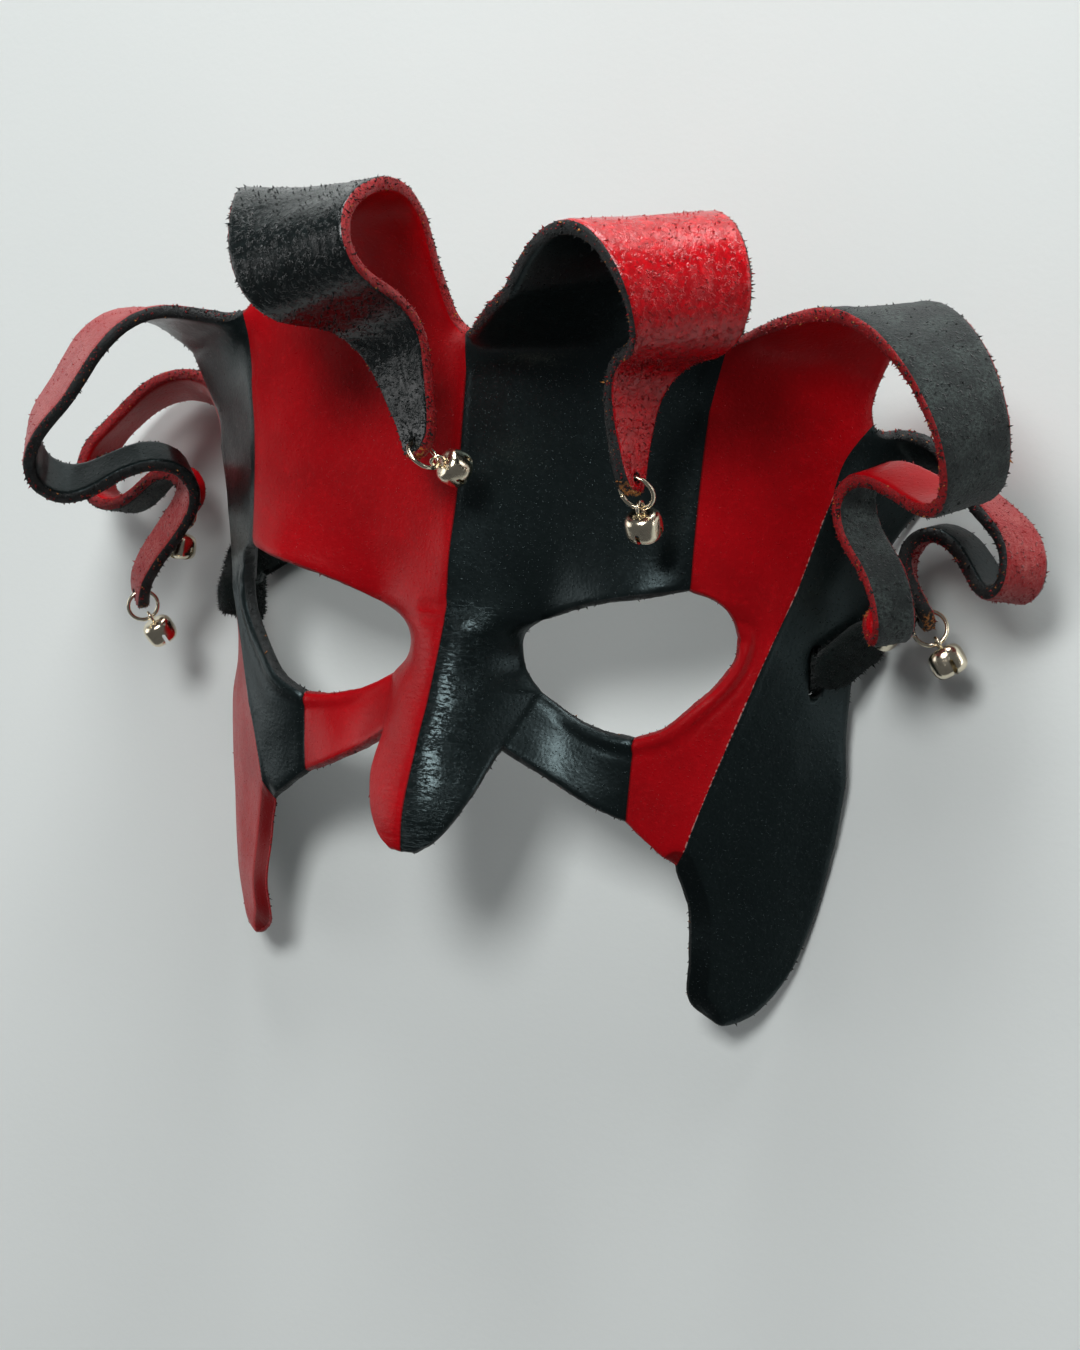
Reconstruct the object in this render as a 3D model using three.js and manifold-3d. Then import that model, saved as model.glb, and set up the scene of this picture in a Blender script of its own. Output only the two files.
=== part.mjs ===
// Leather jester mask: one formed sheet with six curled horns, a bell on a ring at each tip
// and a suede strap. Sizes are millimetres. The mask is described in face axes: x to the
// viewer's right, y up the face, z out of it, and the origin between the brows. It is then
// laid down on its back, with z up.

import * as THREE from 'three';
import { mergeVertices } from 'three/addons/utils/BufferGeometryUtils.js';
import Module from 'manifold-3d';

const wasm = await Module();
wasm.setup();

const V = (x, y, z) => new THREE.Vector3(x, y, z);

// Leather sheet, the slots for the strap and the holes for the rings
const leatherThickness = 3;
const strapSlot = { height: 11, width: 3.2, depth: 9, centre: V(72.1, -10.3, -26.3), out: V(0.86, 0.05, 0.5) };
// The suede strap, and its route from the slot. Beside the slot a place is how far back along the
// panel, up it and out of it, then how much the strap's outer side faces back and out there.
// Under the mask a place is x, y and how far it rises off the floor. The left half mirrors both.
const strap = { width: 10, thickness: 1.5, lift: 0.1, stepsPerPlace: 2 };
const strapBeside = [
  [11, 0, -4, 0, -1], [7, 0, -4, 0, -1], [3.2, 0, -4, 0, -1], [1.4, 0, -3.8, -0.35, -0.93],
  [0, 0, -2.9, -0.85, -0.5], [-0.5, 0, -1, -1, 0], [0, 0.1, 0.9, -0.85, 0.5], [1.4, 0.4, 2, -0.35, 0.93],
  [3.2, 1, 2.4, 0, 1], [6.5, 2.6, 2.3, 0, 1], [10, 4.3, 2, 0, 1], [13, 5.4, 2, 0.3, 0.95],
  [14.4, 6.6, 1, 0.95, 0],
];
const strapUnder = [
  [79.6, 4.6, 1.3], [76.6, 6.6, 0.5], [70, 11, 0.1], [58, 18.5, 0], [42, 26.5, 0], [22, 32, 0], [0, 34, 0],
];

const ringHole = { radius: 1.25, depth: 8, fromTip: 2.7 };

// Jump rings and bells, hung at the tips
const ring = { radius: 3.45, wire: 0.45, grip: 3.2 };
const bell = { radius: 3.7, height: 6.2, wall: 0.45, slotWidth: 0.9, slotDepth: 3.4, eyeRadius: 1.3, eyeWire: 0.36 };
const bellEyeRise = 1;
const bellDroop = 40;

// How the mask lies: turned about x and then y, then shifted so that its box, without the strap,
// stands centred on the floor
const restTilt = 14;
const restRoll = 0.86;
const restShift = V(1.88, -2.34, 42.68);

// Landmarks of the viewer's right half, on the outer surface. The left half mirrors them.
const hairline = {
  centre: V(0, 54.3, -9.7),
  score: V(56.3, 54.1, -10.4),
  crease: V(79.3, 36.4, -28),
  back: V(82, 15.5, -43.3),
};
const brow = V(0, 0, 0);
const browEnd = V(20, -1, -5.5);
const noseTip = V(0, -47.2, 19.7);
const noseTipSide = V(3.2, -46.9, 19.1);
const noseNotch = V(14.8, -26.8, 2);
const eyeAbove = V(53.7, 9, -5.6);
const eyeInner = V(18.5, -17, -8);
const eyeBelow = V(40.9, -24.2, -6);
const eyeOuter = V(61.6, -2, -13.2);
const cheekBelowEye = V(40.2, -41.2, -4.4);
const cheekCorner = V(51.8, -50, -5.8);
const creaseAtEye = V(66.6, -4.5, -15.8);
const flapFront = V(57, -84, -9);
const flapBack = V(71.7, -74.4, -21.3);
const backAtCheek = V(77.3, -47, -28.3);
const backAtEye = V(77.4, -12, -35);

// Mesh steps along each edge of the sheet
const count = {
  browInner: 3, browOuter: 5, forehead: 6, bridge: 4, cheek: 3, noseSide: 5,
  underEye: 5, cheekEdge: 3, creaseLow: 4, temple: 2, sidePanel: 4, flap: 4, horn: 32,
  hornColumns: 2, hornSteps: 136,
};

// How much a full radian of turning adds to the spacing of a horn's rows
const turnEffort = 7;

// Each horn: length, widths after the root, and its turning in degrees per centimetre at even
// stations from root to tip. Curl bends it towards its smooth face, twist turns it about its
// own line and sway turns it in its own plane. Ring swing turns the ring across the tip.
const foreheadLeft = {
  length: 116.5, widths: [42.8, 32, 24.7, 15.9, 6.4], ringSwing: 35,
  curl: [32, 18, 10, 48, 11, 102, -25, -44, 8, -60], twist: [-9, 13, 11, -1, 8], sway: [10, -1.5, 2.3, -5.3],
};
const foreheadRight = {
  length: 121.4, widths: [41.3, 30.9, 21.7, 14.1, 6.4], ringSwing: 35,
  curl: [98, 42, -18, -22, 26, 45, 45, 72, 34, -46, -43, -8, -10], twist: [31, -5, 11, -2, -16],
  sway: [13.2, 6.3, -9.9, 0.5],
};
const browRight = {
  length: 155.7, widths: [19.4, 14.3, 9.8, 8.5, 6.5], ringSwing: 50,
  curl: [52, 8, 27, 24, 21, 33, 65, 16, -42, -82, -14, 103, 158], twist: [15, 8, -6, 10, 6],
  sway: [-4.1, -1.8, -5.1, -0.5],
};
const browLeft = {
  length: 142.7, widths: [25.3, 17.5, 8.6, 8.4, 6.6], ringSwing: 20,
  curl: [91, 8, 46, 28, -16, 42, 104, -13, -51, -64, -17, 23, 58], twist: [14, 2, -7, 10, -10],
  sway: [-11.4, 9.5, 2.2, 1.4],
};
const sideRight = {
  length: 101.4, widths: [13.6, 9.2, 8.3, 8.3, 6.3], ringSwing: 10,
  curl: [42, 60, 50, -2, -10, 59, 163, 24, -34, -77, -77, -16, -4], twist: [1, 20, 4, 7, -20],
  sway: [-7, 1.5, -21.5, -1.3],
};
const sideLeft = {
  length: 103.3, widths: [18, 13.8, 11.3, 8.5, 6.5], ringSwing: 10,
  curl: [16, 27, 38, 39, 20, 1, 59, 83, 56, 0, -70, -100, -70], twist: [6, 18, -16, -2, 2],
  sway: [-7.7, -2.1, -0.7, -0.2],
};
const hornUp = { forehead: V(0, 1, -0.17), brow: V(5, 14, -3.5), side: V(0.44, 0.57, -0.7) };

const leather = new THREE.MeshStandardMaterial({ color: 0x8c1014, roughness: 0.42, metalness: 0 });
const suede = new THREE.MeshStandardMaterial({ color: 0x141213, roughness: 0.95, metalness: 0 });
const nickel = new THREE.MeshStandardMaterial({ color: 0xc9c4b6, roughness: 0.22, metalness: 1 });

// A smooth curve through points, cut into even steps
function through(steps, ...points) {
  return new THREE.CatmullRomCurve3(points, false, 'centripetal').getSpacedPoints(steps);
}

function straight(steps, from, to) {
  return Array.from({ length: steps + 1 }, (_, i) => from.clone().lerp(to, i / steps));
}

// One chain out of several that meet end to end
function chain(...parts) {
  return parts.flatMap((part, i) => (i === 0 ? part : part.slice(1)));
}

// A value from a list of evenly spaced stations, at a place from 0 to 1
function station(list, place) {
  const x = place * (list.length - 1);
  const i = Math.min(Math.floor(x), list.length - 2);
  return THREE.MathUtils.lerp(list[i], list[i + 1], x - i);
}

// Rows of points filling four edges; bulge lifts the middle of each row
function field(bottom, top, left, right, bulge = () => 0) {
  const rows = left.length - 1;
  const columns = bottom.length - 1;
  return left.map((_, r) => bottom.map((__, c) => {
    if (c === 0) return left[r];
    if (c === columns) return right[r];
    if (r === 0) return bottom[c];
    if (r === rows) return top[c];
    const u = c / columns;
    const w = r / rows;
    const across = left[r].clone().lerp(right[r], u);
    const along = bottom[c].clone().lerp(top[c], w);
    const corners = bottom[0].clone().lerp(bottom[columns], u)
      .lerp(top[0].clone().lerp(top[columns], u), w);
    const point = across.add(along).sub(corners);
    point.z += bulge(w, r) * 4 * u * (1 - u);
    return point;
  }));
}

const mirrorPoint = (p) => V(-p.x, p.y, p.z);
const mirrorRows = (rows) => rows.map((row) => row.map(mirrorPoint).reverse());

// A sheet of joined fields that is thickened into one closed solid
class Sheet {
  constructor() {
    this.points = [];
    this.triangles = [];
    this.known = new Map();
  }

  index(p) {
    const key = [p.x, p.y, p.z].map((n) => Math.round(n * 1000)).join(',');
    if (!this.known.has(key)) {
      this.known.set(key, this.points.length);
      this.points.push(p.clone());
    }
    return this.known.get(key);
  }

  triangle(a, b, c) {
    if (a !== b && b !== c && c !== a) this.triangles.push([a, b, c]);
  }

  // Rows run from low to high and each row from left to right, seen from the front
  add(rows) {
    const ids = rows.map((row) => row.map((p) => this.index(p)));
    for (let r = 1; r < ids.length; r += 1) {
      if (ids[r].length === ids[r - 1].length) this.band(ids[r - 1], ids[r]);
      else this.zip(ids[r - 1], ids[r]);
    }
  }

  // Quads between two like rows, each cut along its shorter diagonal
  band(low, high) {
    for (let c = 1; c < low.length; c += 1) {
      const [a, b] = [low[c - 1], low[c]];
      const [d, e] = [high[c - 1], high[c]];
      const rising = this.points[a].distanceTo(this.points[e]);
      const falling = this.points[b].distanceTo(this.points[d]);
      this.triangle(a, b, rising < falling ? e : d);
      this.triangle(rising < falling ? a : b, e, d);
    }
  }

  // Triangles between two rows with different numbers of points
  zip(low, high) {
    let [i, j] = [0, 0];
    while (i < low.length - 1 || j < high.length - 1) {
      const lowNext = (i + 1) / (low.length - 1);
      const highNext = (j + 1) / (high.length - 1);
      if (lowNext <= highNext) {
        this.triangle(low[i], low[i + 1], high[j]);
        i += 1;
      } else {
        this.triangle(low[i], high[j + 1], high[j]);
        j += 1;
      }
    }
  }

  normals() {
    const sums = this.points.map(() => V(0, 0, 0));
    for (const [a, b, c] of this.triangles) {
      const [p, q, s] = [this.points[a], this.points[b], this.points[c]];
      const across = q.clone().sub(p).cross(s.clone().sub(p));
      for (const i of [a, b, c]) sums[i].add(across);
    }
    return sums.map((n) => n.normalize());
  }

  // The back lies one thickness behind, and a wall closes every free edge
  thicken(thickness) {
    const normals = this.normals();
    const n = this.points.length;
    const back = this.points.map((p, i) => p.clone().addScaledVector(normals[i], -thickness));
    const faces = this.triangles.flatMap(([a, b, c]) => [a, b, c, a + n, c + n, b + n]);
    const edges = new Set(this.triangles.flatMap(([a, b, c]) => [`${a},${b}`, `${b},${c}`, `${c},${a}`]));
    for (const edge of edges) {
      const [a, b] = edge.split(',').map(Number);
      if (!edges.has(`${b},${a}`)) faces.push(b, a, a + n, b, a + n, b + n);
    }
    const geometry = new THREE.BufferGeometry();
    const positions = [...this.points, ...back].flatMap((p) => [p.x, p.y, p.z]);
    geometry.setAttribute('position', new THREE.Float32BufferAttribute(positions, 3));
    geometry.setIndex(faces);
    return geometry;
  }
}

// The strip of a horn, grown from its root edge, with the frame of its tip. Rows are closer
// together where it turns more.
function hornStrip(horn, root, up) {
  const [left, right] = [root[0], root[root.length - 1]];
  const across = right.clone().sub(left).normalize();
  const along = up.clone().addScaledVector(across, -up.dot(across)).normalize();
  const normal = across.clone().cross(along);
  const centre = left.clone().lerp(right, 0.5);
  const widths = [left.distanceTo(right), ...horn.widths];
  const step = horn.length / count.hornSteps;
  const turnPerStep = THREE.MathUtils.degToRad(step / 10);
  const places = [];
  let effort = 0;
  let tip = null;
  for (let i = 1; i <= count.hornSteps; i += 1) {
    const middle = (i - 0.5) / count.hornSteps;
    const spin = along.clone().multiplyScalar(station(horn.twist, middle))
      .addScaledVector(normal, -station(horn.sway, middle))
      .addScaledVector(across, station(horn.curl, middle));
    const angle = spin.length() * turnPerStep;
    centre.addScaledVector(along, step / 2);
    spin.normalize();
    for (const axis of [along, normal, across]) axis.applyAxisAngle(spin, angle);
    centre.addScaledVector(along, step / 2);
    const toTip = horn.length - i * step;
    if (!tip && toTip <= ringHole.fromTip) {
      const at = centre.clone().addScaledVector(along, toTip - ringHole.fromTip)
        .addScaledVector(normal, -leatherThickness / 2);
      tip = { at, along: along.clone(), normal: normal.clone(), across: across.clone() };
    }
    effort += step + turnEffort * angle;
    const width = station(widths, i / count.hornSteps) * roundEnd(toTip);
    const [from, to] = [-width / 2, width / 2].map((side) => centre.clone().addScaledVector(across, side));
    places.push({ effort, from, to });
  }
  const rows = [root];
  for (const place of places) {
    if (place.effort >= (effort * rows.length) / count.horn - 1e-6) {
      rows.push(straight(count.hornColumns, place.from, place.to));
    }
  }
  return { rows, tip, ringSwing: horn.ringSwing };
}

// The tip narrows over its last few millimetres
function roundEnd(toTip) {
  const reach = 5;
  return toTip > reach ? 1 : 0.45 + 0.55 * Math.sqrt(1 - (1 - toTip / reach) ** 2);
}

// Geometry to a manifold solid and back
function solid(geometry) {
  const bare = geometry.clone();
  bare.deleteAttribute('normal');
  bare.deleteAttribute('uv');
  const merged = mergeVertices(bare, 1e-4);
  return new wasm.Manifold(new wasm.Mesh({
    numProp: 3,
    vertProperties: Float32Array.from(merged.attributes.position.array),
    triVerts: Uint32Array.from(merged.index.array),
  }));
}

function fromSolid(body) {
  const mesh = body.getMesh();
  const geometry = new THREE.BufferGeometry();
  geometry.setAttribute('position', new THREE.BufferAttribute(mesh.vertProperties, 3));
  geometry.setIndex(new THREE.BufferAttribute(mesh.triVerts, 1));
  return geometry;
}

// A turned copy whose own x, y and z point along the given directions
function placed(geometry, at, x, y, z) {
  return geometry.clone().applyMatrix4(new THREE.Matrix4().makeBasis(x, y, z).setPosition(at));
}

// Edges of the viewer's right half
function halfEdges() {
  const lidBend = [V(27.6, 2.9, -3), V(35.6, 5.7, -1.3), V(42.9, 7.5, -1), V(49, 8.4, -2.7)];
  const noseFlare = [V(14.2, -29, 4.8), V(13.1, -33.9, 10.2), V(10.7, -39.4, 14.6), V(6.9, -44.7, 17.6)];
  const underCheek = [V(23.6, -32.5, -0.4), V(33.6, -37.9, -1.6)];
  const outerRim = [V(47.5, -21.5, -6.6), V(52.3, -17.5, -8.1), V(57.6, -11.9, -11), V(60.8, -6.5, -12.8)];
  return {
    ridge: through(count.bridge + count.cheek + count.noseSide,
      noseTip, V(0, -40, 18.9), V(0, -25, 12.3), V(0, -14, 6.2), brow),
    centre: through(count.forehead, brow, V(0, 11, -1), V(0, 23, -4.3), hairline.centre),
    browLine: through(count.browInner, brow, V(10, -0.2, -1.6), browEnd),
    lid: through(count.browOuter, browEnd, ...lidBend, eyeAbove),
    innerRim: through(count.bridge, eyeInner, V(14.8, -12.5, -8.2), V(14, -8, -8), V(15.3, -4.6, -7.3), browEnd),
    noseSeam: straight(count.cheek, noseNotch, eyeInner),
    noseEdge: through(count.noseSide, noseTipSide, ...noseFlare.reverse(), noseNotch),
    noseEnd: straight(count.browInner, noseTip, noseTipSide),
    lowerRim: through(count.underEye, eyeInner, V(25.2, -20.9, -7.5), V(33, -23.3, -6.2), eyeBelow),
    scoreLow: straight(count.cheek, cheekBelowEye, eyeBelow),
    cheekInner: through(count.underEye, noseNotch, ...underCheek, cheekBelowEye),
    cheekOuter: through(count.cheekEdge, cheekBelowEye, V(46.9, -46.6, -4.9), cheekCorner),
    creaseLow: through(count.creaseLow, cheekCorner, V(54, -42.3, -6.9), V(58.9, -27.3, -10),
      V(63.7, -12.9, -13.7), creaseAtEye),
    outerRim: through(count.cheekEdge + count.creaseLow, eyeBelow, ...outerRim, eyeOuter),
    templeLine: straight(count.cheek, eyeOuter, creaseAtEye),
    upperRim: through(count.temple, eyeOuter, V(60.5, 2.5, -12), V(57.8, 6.5, -9), eyeAbove),
    scoreHigh: through(count.forehead, eyeAbove, V(53.8, 20, -7.1), V(54.5, 35, -8.8), hairline.score),
    creaseHigh: through(count.temple + count.forehead, creaseAtEye, V(70.5, 8.1, -20.8),
      V(74.3, 22.4, -24.5), hairline.crease),
    flapEdge: through(count.flap, flapFront, V(55, -79, -6.7), V(55.5, -71, -6.4), V(54.6, -59.5, -7.6),
      cheekCorner),
    flapHem: through(count.sidePanel, flapFront, V(60.5, -85.2, -11.5), V(66.5, -82.2, -16), flapBack),
    back: chain(
      through(count.flap, flapBack, V(74.6, -63, -25), backAtCheek),
      through(count.creaseLow, backAtCheek, V(78.4, -34, -30.4), V(77.6, -25, -32), backAtEye),
      through(count.temple + count.forehead, backAtEye, V(79.5, 2, -39.5), hairline.back),
    ),
  };
}

// The roots of the right half's horns
const hair = {
  face: straight(count.browInner + count.browOuter, hairline.centre, hairline.score),
  brow: straight(count.cheek, hairline.score, hairline.crease),
  side: straight(count.sidePanel, hairline.crease, hairline.back),
};

// The fields of the right half
function halfFields() {
  const e = halfEdges();
  const forehead = field(chain(e.browLine, e.lid), hair.face, e.centre, e.scoreHigh);
  const noseRight = chain(e.noseEdge, e.noseSeam, [...e.innerRim]);
  const roundNose = (w, r) => 0.16 * (e.ridge[r].z - noseRight[r].z);
  const nose = field(e.noseEnd, e.browLine, e.ridge, noseRight, roundNose);
  const underEye = field(e.cheekInner, e.lowerRim, [...e.noseSeam], e.scoreLow);
  const aroundEye = field(e.scoreLow, e.templeLine.slice().reverse(),
    chain(e.cheekOuter, e.creaseLow), e.outerRim);
  const temple = field(e.templeLine, hair.brow, chain(e.upperRim, e.scoreHigh), e.creaseHigh);
  const side = field(e.flapHem, hair.side, chain(e.flapEdge, e.creaseLow, e.creaseHigh), e.back);
  return { forehead, nose, underEye, aroundEye: aroundEye.map((row) => row.slice().reverse()), temple, side };
}

function leatherMask() {
  const sheet = new Sheet();
  for (const rows of Object.values(halfFields())) {
    sheet.add(rows);
    sheet.add(mirrorRows(rows));
  }
  const strips = {
    forehead_left: hornStrip(foreheadLeft, mirrorRows([hair.face])[0], hornUp.forehead),
    forehead_right: hornStrip(foreheadRight, hair.face, hornUp.forehead),
    brow_right: hornStrip(browRight, hair.brow, hornUp.brow),
    side_right: hornStrip(sideRight, hair.side, hornUp.side),
    brow_left: hornStrip(browLeft, hair.brow, hornUp.brow),
    side_left: hornStrip(sideLeft, hair.side, hornUp.side),
  };
  for (const name of ['brow_left', 'side_left']) {
    const { rows, tip } = strips[name];
    strips[name].rows = mirrorRows(rows);
    tip.at = mirrorPoint(tip.at);
    tip.along = mirrorPoint(tip.along);
    tip.normal = mirrorPoint(tip.normal);
    tip.across = mirrorPoint(tip.across).negate();
  }
  for (const { rows } of Object.values(strips)) sheet.add(rows);
  let body = solid(sheet.thicken(leatherThickness));
  for (const cut of strapSlots()) body = body.subtract(solid(cut));
  for (const { tip } of Object.values(strips)) body = body.subtract(solid(punch(tip)));
  return { geometry: fromSolid(body), strips };
}

// Directions at the right slot: back along the panel, up it and out of it
function slotFrame() {
  const out = strapSlot.out.clone().normalize();
  const back = V(0, 1, 0).cross(out).normalize();
  return { back, up: out.clone().cross(back), out };
}

// The upright slots in the side panels that the strap passes through
function strapSlots() {
  const { height, width, depth, centre } = strapSlot;
  const box = new THREE.BoxGeometry(width, height, depth);
  const { back, up, out } = slotFrame();
  return [
    placed(box, centre, back, up, out),
    placed(box, mirrorPoint(centre), mirrorPoint(back).negate(), mirrorPoint(up), mirrorPoint(out)),
  ];
}

// The round hole through a horn's tip
function punch({ at, along, normal, across }) {
  const pin = new THREE.CylinderGeometry(ringHole.radius, ringHole.radius, ringHole.depth, 8);
  return placed(pin, at, along, normal, across.clone());
}

// A jump ring through the hole of a tip, turned across it by its swing
function jumpRing({ at, along, normal, across }, swing) {
  const turn = THREE.MathUtils.degToRad(swing);
  const reach = along.clone().multiplyScalar(Math.cos(turn)).addScaledVector(across, Math.sin(turn));
  const centre = at.clone().addScaledVector(reach, ring.grip);
  const axis = reach.clone().cross(normal);
  const hoop = new THREE.TorusGeometry(ring.radius, ring.wire, 5, 12);
  return { geometry: placed(hoop, centre, reach, normal, axis), centre, axis };
}

// One round bell about its own y axis: a thin barrel with crossed slots below and an eye on top
function bellShape() {
  const { radius, height, wall, slotWidth, slotDepth, eyeRadius, eyeWire } = bell;
  const barrel = (r, h) => new THREE.LatheGeometry([
    [0, -h / 2], [r * 0.5, -h / 2], [r * 0.92, -h * 0.3], [r, 0],
    [r * 0.92, h * 0.3], [r * 0.5, h / 2], [0, h / 2],
  ].map(([x, y]) => new THREE.Vector2(x, y)), 10);
  let body = solid(barrel(radius, height)).subtract(solid(barrel(radius - wall, height - 2 * wall)));
  for (const turn of [0, Math.PI / 2]) {
    const slot = new THREE.BoxGeometry(slotWidth, slotDepth, radius * 3);
    body = body.subtract(solid(slot.rotateY(turn).translate(0, -height / 2, 0)));
  }
  const eye = new THREE.TorusGeometry(eyeRadius, eyeWire, 5, 8);
  return fromSolid(body.add(solid(eye.translate(0, height / 2 + bellEyeRise, 0))));
}

// A bell hangs by its eye from the wire of its ring
function hungBell(shape, { centre, axis }) {
  const droop = THREE.MathUtils.degToRad(bellDroop);
  const down = V(0, -Math.cos(droop), -Math.sin(droop));
  down.addScaledVector(axis, -down.dot(axis)).normalize();
  const wire = axis.clone().cross(down);
  const up = down.clone().negate();
  const middle = centre.clone().addScaledVector(down, ring.radius + bellEyeRise + bell.height / 2);
  return placed(shape, middle, up.clone().cross(wire), up, wire);
}

// The strap's middle line and outward directions, from the right tab to the left one
function strapRoute(toWorld) {
  const { back, up, out } = slotFrame();
  const turned = (v) => v.clone().transformDirection(toWorld);
  const beside = strapBeside.map(([h, v, w, facingBack, facingOut]) => ({
    at: strapSlot.centre.clone().addScaledVector(back, h).addScaledVector(up, v).addScaledVector(out, w),
    facing: back.clone().multiplyScalar(facingBack).addScaledVector(out, facingOut),
  }));
  const places = (flip) => beside.map(({ at, facing }) => ({
    at: flip(at).applyMatrix4(toWorld), facing: turned(flip(facing)),
  }));
  const height = strap.thickness / 2 + strap.lift;
  const under = (side) => strapUnder.map(([x, y, rise]) => ({
    at: V(restShift.x + side * x, y, height + rise), facing: V(0, 0, -1),
  }));
  return [
    ...places((p) => p.clone()), ...under(1), ...under(-1).reverse().slice(1), ...places(mirrorPoint).reverse(),
  ];
}

// A flat ribbon along the strap's route
function strapRibbon(toWorld) {
  const route = strapRoute(toWorld);
  const line = new THREE.CatmullRomCurve3(route.map((place) => place.at), false, 'centripetal');
  const steps = (route.length - 1) * strap.stepsPerPlace;
  const sheet = new Sheet();
  sheet.add(Array.from({ length: steps + 1 }, (_, i) => {
    const place = (i / steps) * (route.length - 1);
    const before = Math.min(Math.floor(place), route.length - 2);
    const facing = route[before].facing.clone().lerp(route[before + 1].facing, place - before).normalize();
    const right = line.getTangent(i / steps).cross(facing).normalize();
    const middle = line.getPoint(i / steps).addScaledVector(facing, strap.thickness / 2);
    return [-0.5, 0.5].map((side) => middle.clone().addScaledVector(right, side * strap.width));
  }));
  return sheet.thicken(strap.thickness);
}

const mask = new THREE.Group();
mask.rotation.set(THREE.MathUtils.degToRad(restTilt), THREE.MathUtils.degToRad(restRoll), 0, 'YXZ');
mask.position.copy(restShift);

function addPiece(name, shape, material) {
  const mesh = new THREE.Mesh(shape, material.clone());
  mesh.name = name;
  mask.add(mesh);
}

const { geometry, strips } = leatherMask();
addPiece('leather_mask', geometry, leather);
const bellGeometry = bellShape();
for (const [name, { tip, ringSwing }] of Object.entries(strips)) {
  const hoop = jumpRing(tip, ringSwing);
  addPiece(`ring_${name}`, hoop.geometry, nickel);
  addPiece(`bell_${name}`, hungBell(bellGeometry, hoop), nickel);
}

mask.updateMatrix();
const strapMesh = new THREE.Mesh(strapRibbon(mask.matrix), suede);
strapMesh.name = 'strap';
const laidMask = new THREE.Group();
laidMask.add(mask, strapMesh);

export default laidMask;
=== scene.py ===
import math

import bpy
import numpy as np
from mathutils import Matrix, Vector, noise


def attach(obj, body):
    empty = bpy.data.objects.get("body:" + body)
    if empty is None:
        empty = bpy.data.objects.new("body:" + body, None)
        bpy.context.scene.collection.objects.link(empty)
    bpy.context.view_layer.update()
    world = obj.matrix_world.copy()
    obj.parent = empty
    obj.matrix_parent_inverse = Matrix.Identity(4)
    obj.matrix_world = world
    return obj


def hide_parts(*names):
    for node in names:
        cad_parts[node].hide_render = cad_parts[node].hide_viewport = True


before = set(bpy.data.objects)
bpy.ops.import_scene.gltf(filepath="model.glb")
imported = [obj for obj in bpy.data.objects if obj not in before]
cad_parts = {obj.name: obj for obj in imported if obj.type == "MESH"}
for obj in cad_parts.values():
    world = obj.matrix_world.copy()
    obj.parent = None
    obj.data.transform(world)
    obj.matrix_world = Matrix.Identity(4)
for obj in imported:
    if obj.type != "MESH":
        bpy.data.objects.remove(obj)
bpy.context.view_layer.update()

bl_info = {
    "name": "Leather jester mask",
    "version": (1, 0, 0),
    "blender": (4, 5, 0),
    "location": "View3D > Sidebar > Jester mask",
    "description": "Makes a formed leather jester mask with curled horns, bells and a suede strap",
    "category": "Add Mesh",
}

MM = 0.001

# The mask is shaped in millimetres in face axes: x to the viewer's right, y up the face, z out
# of it, and the origin between the brows. It is turned and shifted onto its back at the end.
REST_TILT = 14.0
REST_ROLL = 0.86
REST_SHIFT = np.array([1.88, -2.34, 42.68])
LAY = np.array(Matrix.Rotation(math.radians(REST_ROLL), 3, "Y")
               @ Matrix.Rotation(math.radians(REST_TILT), 3, "X"))

# Where the viewer stands, in face axes
VIEWER = np.array([243.84, 101.63, 403.37])
VIEWER_BACK = np.array([0.467, 0.238, 0.851])
PICTURE_SIZE = (1080, 1350)
FOCAL_PIXELS = 2300

# The slots in the side panels: middle and outward direction of the right one, and their size
SLOT_CENTRE = np.array([72.1, -10.3, -26.3])
SLOT_OUT = np.array([0.86, 0.05, 0.5])
SLOT_HEIGHT = 11
SLOT_WIDTH = 3.2
SLOT_DEPTH = 9
SLOT_ROUNDING = 0.35

# The strap's route: how far it lies off the surface, and places beside the right slot, as back,
# up and out of the panel, each with the way that the strap's smooth face looks there, as back
# and out. Then laid places under the mask, as x and y from its middle and a further rise.
STRAP_LIFT = 0.1
STRAP_BESIDE = [
    (11, 0, -4, 0, -1), (7, 0, -4, 0, -1), (3.2, 0, -4, 0, -1), (1.4, 0, -3.8, -0.35, -0.93),
    (0, 0, -2.9, -0.85, -0.5), (-0.5, 0, -1, -1, 0), (0, 0.1, 0.9, -0.85, 0.5),
    (1.4, 0.4, 2, -0.35, 0.93), (3.2, 1, 2.4, 0, 1), (6.5, 2.6, 2.3, 0, 1), (10, 4.3, 2, 0, 1),
    (13, 5.4, 2, 0.3, 0.95), (14.4, 6.6, 1, 0.95, 0),
]
STRAP_UNDER = [
    (79.6, 4.6, 1.3), (76.6, 6.6, 0.5), (70, 11, 0.1), (58, 18.5, 0), (42, 26.5, 0),
    (22, 32, 0), (0, 34, 0),
]

# The strap is plump where it shows, between these places of its route, and pinched in the slot
STRAP_SWELL = 2.2
STRAP_SWOLLEN = (5.6, 6.8, 10.5, 12.2)
STRAP_NARROW = (4.8, 6.2, 7, 8.2)
STRAP_NARROW_SHARES = (1, 0.62, 0.84, 1)
STRAP_ROUNDING = 0.45
STRAP_ACROSS_POINTS = 18
STRAP_SHOWN_BEFORE_SLOT = 6

# How a ring holds a horn's tip and a bell hangs on it
HOLE_FROM_TIP = 2.7
HOLE_RADIUS = 1.25
HOLE_DEPTH = 8
RING_GRIP = 3.2
RING_GAP_DEGREES = 3
EYE_GAP_DEGREES = 0.01
BELL_EYE_RISE = 1
BELL_DROOP = 40

# A bell's barrel: how full its ends are, how square its lower half and, as height, width and
# place above its middle, the rolled seam
BELL_FULLNESS = 0.6
BELL_SQUARENESS = 0.05
BELL_SEAM = (0.12, 0.22, 0.35)
BELL_SHARP_DEGREES = 38

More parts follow.
